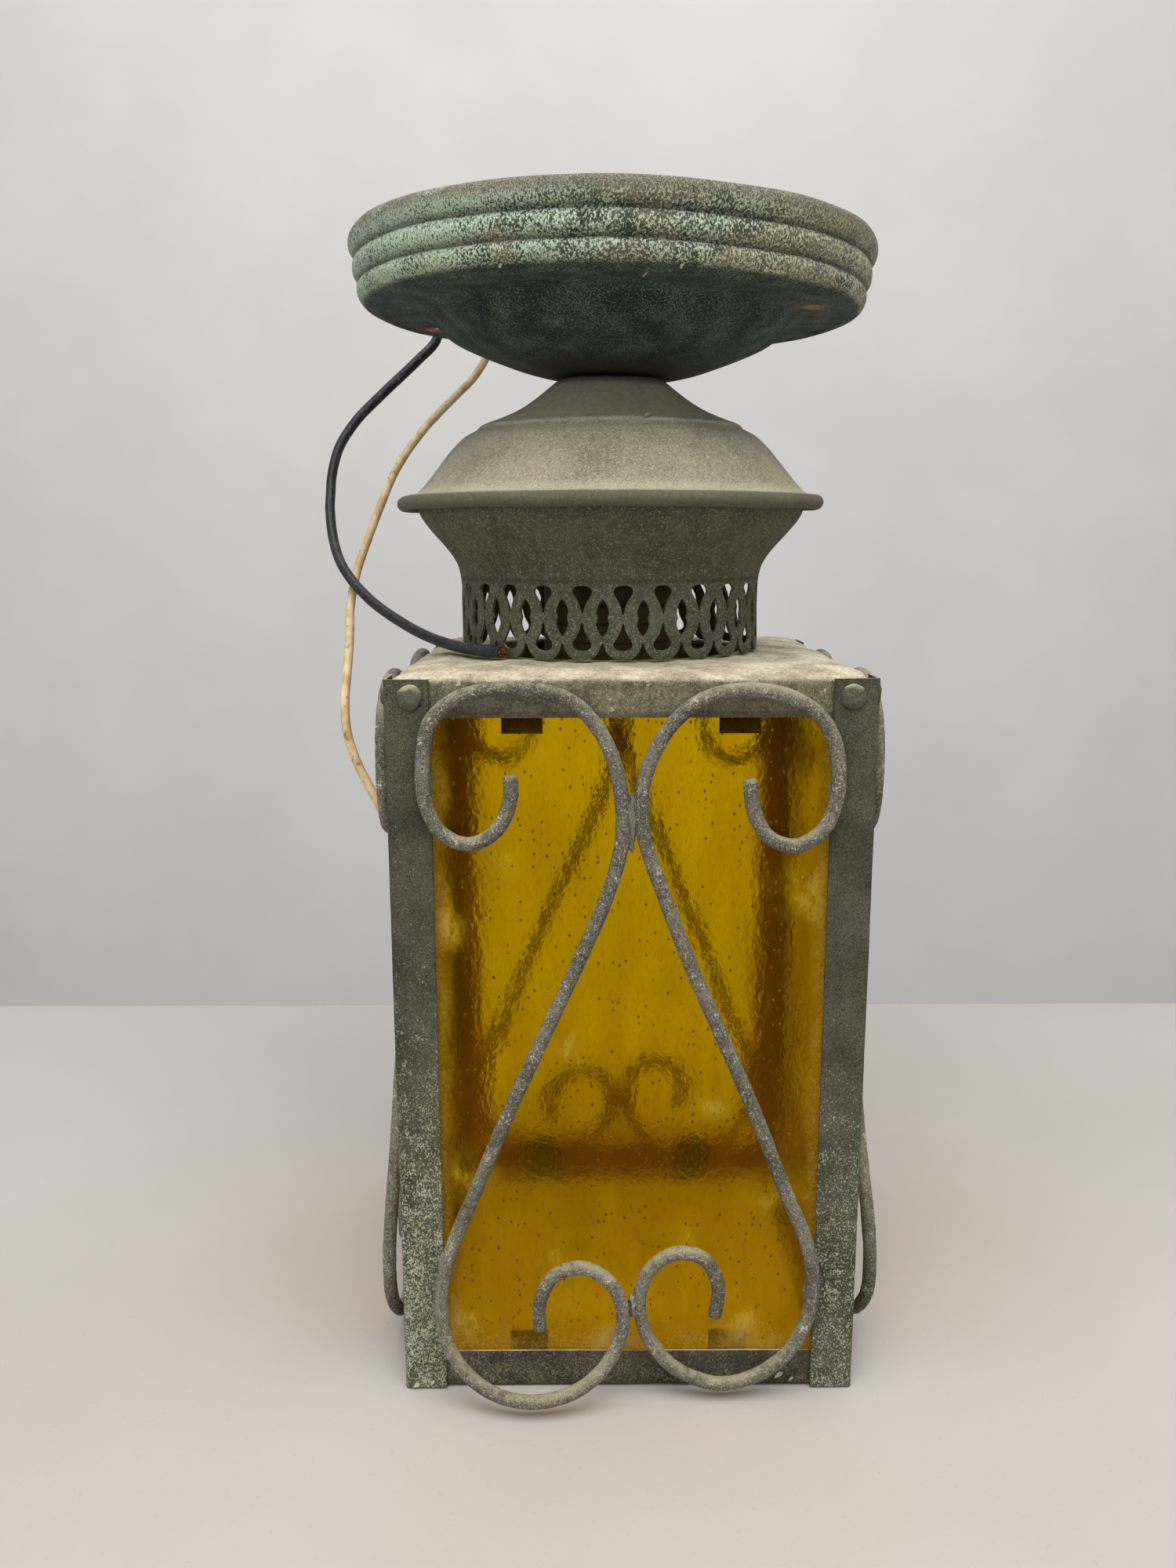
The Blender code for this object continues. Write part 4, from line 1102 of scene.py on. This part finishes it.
def build_scrolls():
    """The bent rods: hand-cut ends, a slightly uneven round and a forged surface."""
    for face, side in enumerate(FACES):
        for hand, (route, mirrored, lift) in zip(("left", "right"), SCROLLS[side]):
            flip = -1 if mirrored else 1
            path = []
            for u, v, *given in route:
                proud = given[0] if given else PROUD
                path.append((flip * u, -BOX_HALF - proud - lift * bent_out(v), v))
            line = even_line(smooth_line(path), ROD_STEP)
            last = len(line) - 1
            seed = face * 5.0 + (hand == "right") * 2.0

            def radius_at(i):
                end = min(i, last - i) * ROD_STEP
                blunt = 0.55 + 0.45 * math.sqrt(1 - (1 - end / ROD_END) ** 2) if end < ROD_END else 1.0
                uneven = 1 + 0.035 * wave(i / 22, seed, 0) + 0.02 * wave(i / 5, seed, 3)
                return ROD_RADIUS * 0.985 * blunt * uneven

            rod = placed(capped(tube(line, radius_at, 20)), corner_turn(face))
            node = f"scroll_{side}_{hand}"
            piece(f"rod_{side}_{hand}", rod, ROD, [node], 50, (0.13, 1.6, seed))


def blob(centre, size, seed):
    """A lump of solder: a pulled and pitted drop, as a surface."""
    work = bmesh.new()
    bmesh.ops.create_icosphere(work, subdivisions=4, radius=1.0)
    points = []
    for vert in work.verts:
        large, small = vert.co * 1.7 + Vector((seed, 0, 0)), vert.co * 5 + Vector((0, seed, 0))
        lump = 1 + 0.3 * noise.noise(large) + 0.12 * noise.noise(small)
        points.append([c + s * v * lump for c, s, v in zip(centre, size, vert.co)])
    faces = [[v.index for v in face.verts] for face in work.faces]
    work.free()
    return np.array(points), faces


def build_solder():
    """Solder where the rods meet each other, the lid's skirt, the strips and the bottom rail."""
    plane = -BOX_HALF
    places = [
        ((0.1, plane - 2.2, 170.6), (1.5, 1.5, 6.8)), ((0.0, plane - 2.4, 163.2), (0.8, 0.8, 1.5)),
        ((-31.0, plane - 0.6, 204.2), (5.0, 0.9, 1.5)), ((31.0, plane - 0.6, 203.8), (5.0, 0.9, 1.5)),
        ((-54.2, plane - 0.5, 180.0), (1.6, 0.9, 4.4)), ((54.0, plane - 0.5, 178.0), (1.6, 0.9, 4.4)),
        ((0.8, plane - 3.2, 28.6), (1.2, 1.6, 3.4)), ((51.6, plane - 0.9, 32.0), (1.6, 1.0, 4.6)),
        ((-52.8, plane - 1.2, 40.0), (1.5, 1.2, 4.0)),
    ]
    for face, side in enumerate(FACES):
        blobs = [blob(*place, face * 11 + index * 2.3) for index, place in enumerate(places)]
        piece(f"solder_{side}", placed(joined(blobs), corner_turn(face)), SOLDER, (), 60)


def flake(centre, facing, size, seed):
    """A curled chip of old paint or lint lying on a surface."""
    facing = Vector(facing).normalized()
    side = facing.orthogonal().normalized()
    other = facing.cross(side)
    count = 9
    rim = []
    for i in range(count):
        angle = FULL_TURN * i / count
        c, s = math.cos(angle), math.sin(angle)
        reach = size * (0.75 + 0.7 * wave(c * 1.5, s * 1.5, seed))
        lift = 0.25 + 0.5 * abs(wave(angle, seed, 1.0))
        rim.append(Vector(centre) + side * c * reach * 1.5 + other * s * reach * 0.6 + facing * lift)
    points = [tuple(p) for p in rim] + [tuple(p - facing * 0.3) for p in rim]
    faces = [list(range(count)), list(range(count, 2 * count))]
    faces += [[i, (i + 1) % count, count + (i + 1) % count, count + i] for i in range(count)]
    return points, faces


def build_flakes():
    """A few pale scraps caught on the canopy's edge, the hood and the foot of the strips."""
    corner, outward = BOX_X - BOX_HALF, (0, -1, 0)
    spots = []
    on_canopy = (
        (-113, 72.5, 308), (-77.6, 72.6, 307.9), (-60, 73.6, 308.8), (-96, 75.6, 319.6), (-84, 66, 306.9),
    )
    for degrees, radius, z in on_canopy:
        c, s = math.cos(math.radians(degrees)), math.sin(math.radians(degrees))
        spots.append((LEAN @ Vector((radius * c, radius * s, z)), (c, s, -0.6), 0.7))
    spots += [
        ((9.4, -37.7, 276.2), (0.2, -0.6, 0.8), 1.2),
        ((corner + 3.4, -BOX_HALF, 1.2), outward, 1.1), ((corner + 8.0, -BOX_HALF, 2.0), outward, 0.7),
        ((BOX_X + 44.0, -RAIL_HALF, 3.4), outward, 1.2), ((BOX_X + 47.5, -RAIL_HALF, 2.0), outward, 0.8),
    ]
    scraps = joined([flake(*spot, index * 3.1) for index, spot in enumerate(spots)])
    piece("pale_scraps", scraps, SCRAP, (), 30)


# --- Wires ---------------------------------------------------------------------------------------

BLACK_RADIUS = 1.65
WHITE_RADIUS = 1.4
BLACK_ROUTE = [
    (-1.8, -0.6, 297), (-1.8, -0.6, 303), (-2.6, 0.6, 311), (-6.2, 5.2, 319), (-14, 14, 326.8),
    (-25, 26.6, 332.4), (-36.6, 40, 335), (-47, 51.8, 333.4), (-54, 59.8, 327.4), (-57, 62.8, 319),
    (-58.6, 61.8, 310.6), (-64.6, 58.6, 303.7), (-77.4, 56, 291.7), (-85.6, 53.4, 283.2),
    (-91.4, 50, 273.6), (-93.8, 45.4, 260.6), (-93, 39.6, 249.6), (-90.8, 34, 241),
    (-87.4, 27.6, 234.8), (-82, 20, 229), (-74.8, 12, 223.4), (-65.8, 3, 218.4), (-54.8, -9.6, 214.2),
    (-43, -24.4, 212.2), (-31, -38, 212),
]
WHITE_ROUTE = [
    (1.5, 0.9, 297), (1.5, 0.9, 303), (1.2, 3, 311), (-1.4, 10, 319.8), (-7, 22.6, 328),
    (-14.6, 37, 333.4), (-23, 52, 335.4), (-31, 65.4, 333.6), (-37.4, 74.4, 327), (-40.4, 77.8, 318),
    (-42, 75.8, 308.2), (-46.8, 72, 299.6), (-52.8, 68, 293), (-64, 59, 280), (-72, 49, 266.5),
    (-76.4, 43, 255.1), (-80.4, 37.6, 243.4), (-83.4, 31.4, 232.6), (-84.4, 23, 221.4),
    (-83.4, 14.6, 212.6), (-82.8, 5.6, 203.2), (-83, 0.2, 193.4), (-82.2, -2.2, 184.4),
    (-79, -4.2, 174.6), (-74.8, -5.8, 166.6), (-70.4, -7.2, 158),
]


def build_wire(name, route, radius, finish, node):
    """A supply wire as one bevelled curve along its route."""
    curve = bpy.data.curves.new(name, "CURVE")
    curve.dimensions = "3D"
    curve.bevel_depth = radius * MM
    curve.bevel_resolution = 5
    curve.use_fill_caps = True
    line = even_line(smooth_line(route), 1.2) * MM
    room = radius * MM * 1.01
    line = np.clip(line, np.array(cad_low) + room, np.array(cad_high) - room)
    spline = curve.splines.new("POLY")
    spline.points.add(len(line) - 1)
    for point, place in zip(spline.points, line):
        point.co = (*place, 1)
        point.radius = 1.0
    made = bpy.data.objects.new(name, curve)
    return show(made, finish, [node])


def build_tip(name, route, radius):
    """The bare strands at a wire's end: a short, frayed twist just inside the insulation's mouth."""
    end = Vector(route[-1])
    along = (end - Vector(route[-2])).normalized()
    side = along.cross(Vector((0, 0, 1))).normalized()
    other = along.cross(side)
    strands = []
    for strand in range(7):
        turn = FULL_TURN * strand / 6
        reach = 0.0 if strand == 6 else radius * 0.55
        path = []
        for step in range(6):
            swirl = turn + step * 0.25
            offset = (side * math.cos(swirl) + other * math.sin(swirl)) * reach
            path.append(end + along * (step * 0.42 - 1.7) + offset)
        strands.append(capped(tube(path, lambda i: radius * 0.27, 8)))
    return piece(name, joined(strands), COPPER)


def build_wires():
    black = build_wire("black_lead", BLACK_ROUTE, BLACK_RADIUS, BLACK, "wire_black")
    white = build_wire("tan_lead", WHITE_ROUTE, WHITE_RADIUS, TAN, "wire_white")
    black_tip = build_tip("black_lead_strands", BLACK_ROUTE, BLACK_RADIUS)
    white_tip = build_tip("tan_lead_strands", WHITE_ROUTE, WHITE_RADIUS)


# --- Clips, scraps and the room ------------------------------------------------------------------

def refinish_clips():
    for face in FACES:
        for level in ("top", "bottom"):
            for hand in ("left", "right"):
                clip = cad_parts[f"clip_{face}_{level}_{hand}"]
                clip.data.materials.clear()
                clip.data.materials.append(RAIL)


def stage_finish(name, base, pale, rough, fade):
    f = Finish(name, rough)
    clouds = f.grain(260)
    specks = f.grain(1.4, 2)
    tone = f.coat(base, pale, f.band(clouds, 0.3, 0.7))
    tone = f.coat(tone, (140, 136, 130), f.band(specks, 0.66, 0.74), 0.18)
    # Painted shade: the table darker towards its far edge, by fade; the wall gets none.
    tone = f.coat(tone, (140, 137, 133), f.band(f.y, -0.15, 0.24, 0.0, fade))
    return f.done(tone, f.relief(specks, 0.05))


def slab(name, low, high, finish):
    mesh = bpy.data.meshes.new(name)
    work = bmesh.new()
    middle = (Vector(low) + Vector(high)) / 2
    size = Vector(high) - Vector(low)
    bmesh.ops.create_cube(work, size=1, matrix=Matrix.Translation(middle) @ Matrix.Diagonal((*size, 1)))
    work.to_mesh(mesh)
    work.free()
    made = bpy.data.objects.new(name, mesh)
    bpy.context.scene.collection.objects.link(made)
    mesh.materials.append(finish)
    return made


def light(name, place, aim, size, power, tint):
    data = bpy.data.lights.new(name, "AREA")
    data.shape = "RECTANGLE"
    data.size, data.size_y = size
    data.energy = power
    data.color = tint
    made = bpy.data.objects.new(name, data)
    bpy.context.scene.collection.objects.link(made)
    made.location = place
    made.rotation_euler = (Vector(aim) - Vector(place)).to_track_quat("-Z", "Y").to_euler()


def build_room():
    """A pale table with its far edge behind the lantern, a pale wall beyond, and soft light from above."""
    table = stage_finish("table", (172, 166, 160), (180, 174, 169), 0.8, 0.3)
    wall = stage_finish("wall", (203, 201, 197), (209, 207, 202), 0.85, 0.0)
    slab("table_top", (-3.0, -3.0, -0.03), (3.0, 0.242, -0.0005), table)
    slab("far_wall", (-6.0, 1.35, -2.5), (6.0, 1.40, 4.0), wall)
    light("overhead", (0.05, -0.6, 1.45), (0, 0, 0.15), (1.5, 1.2), 29, (1.0, 0.985, 0.96))
    light("front_fill", (-0.9, -1.5, 0.9), (0, 0, 0.15), (1.2, 1.2), 5, (0.97, 0.985, 1.0))
    light("wall_wash", (0.0, 0.5, 2.0), (0, 1.35, 0.45), (2.4, 0.6), 16, (0.99, 0.99, 1.0))
    world = bpy.data.worlds.new("world")
    bpy.context.scene.world = world
    world.use_nodes = True
    sky = world.node_tree.nodes["Background"]
    sky.inputs["Color"].default_value = (0.92, 0.94, 1.0, 1.0)
    sky.inputs["Strength"].default_value = 0.46
    bpy.context.scene.view_settings.view_transform = "Standard"


SOLDER = speckled_finish("solder", (96, 94, 84), (128, 124, 110), (188, 182, 160), 0.0, 0.3, 0.7)

SCRAP = speckled_finish("scraps", (176, 170, 140), (206, 202, 176), (226, 224, 200), 0.0, 0.3, 0.6)

build_wires()
build_canopy()
build_hood()
build_stem()
build_socket()
build_gallery()
build_top_cap()
build_bottom_frame()
build_strips()
build_rivets()
build_glass()
build_scrolls()
build_solder()
build_flakes()
refinish_clips()
build_room()
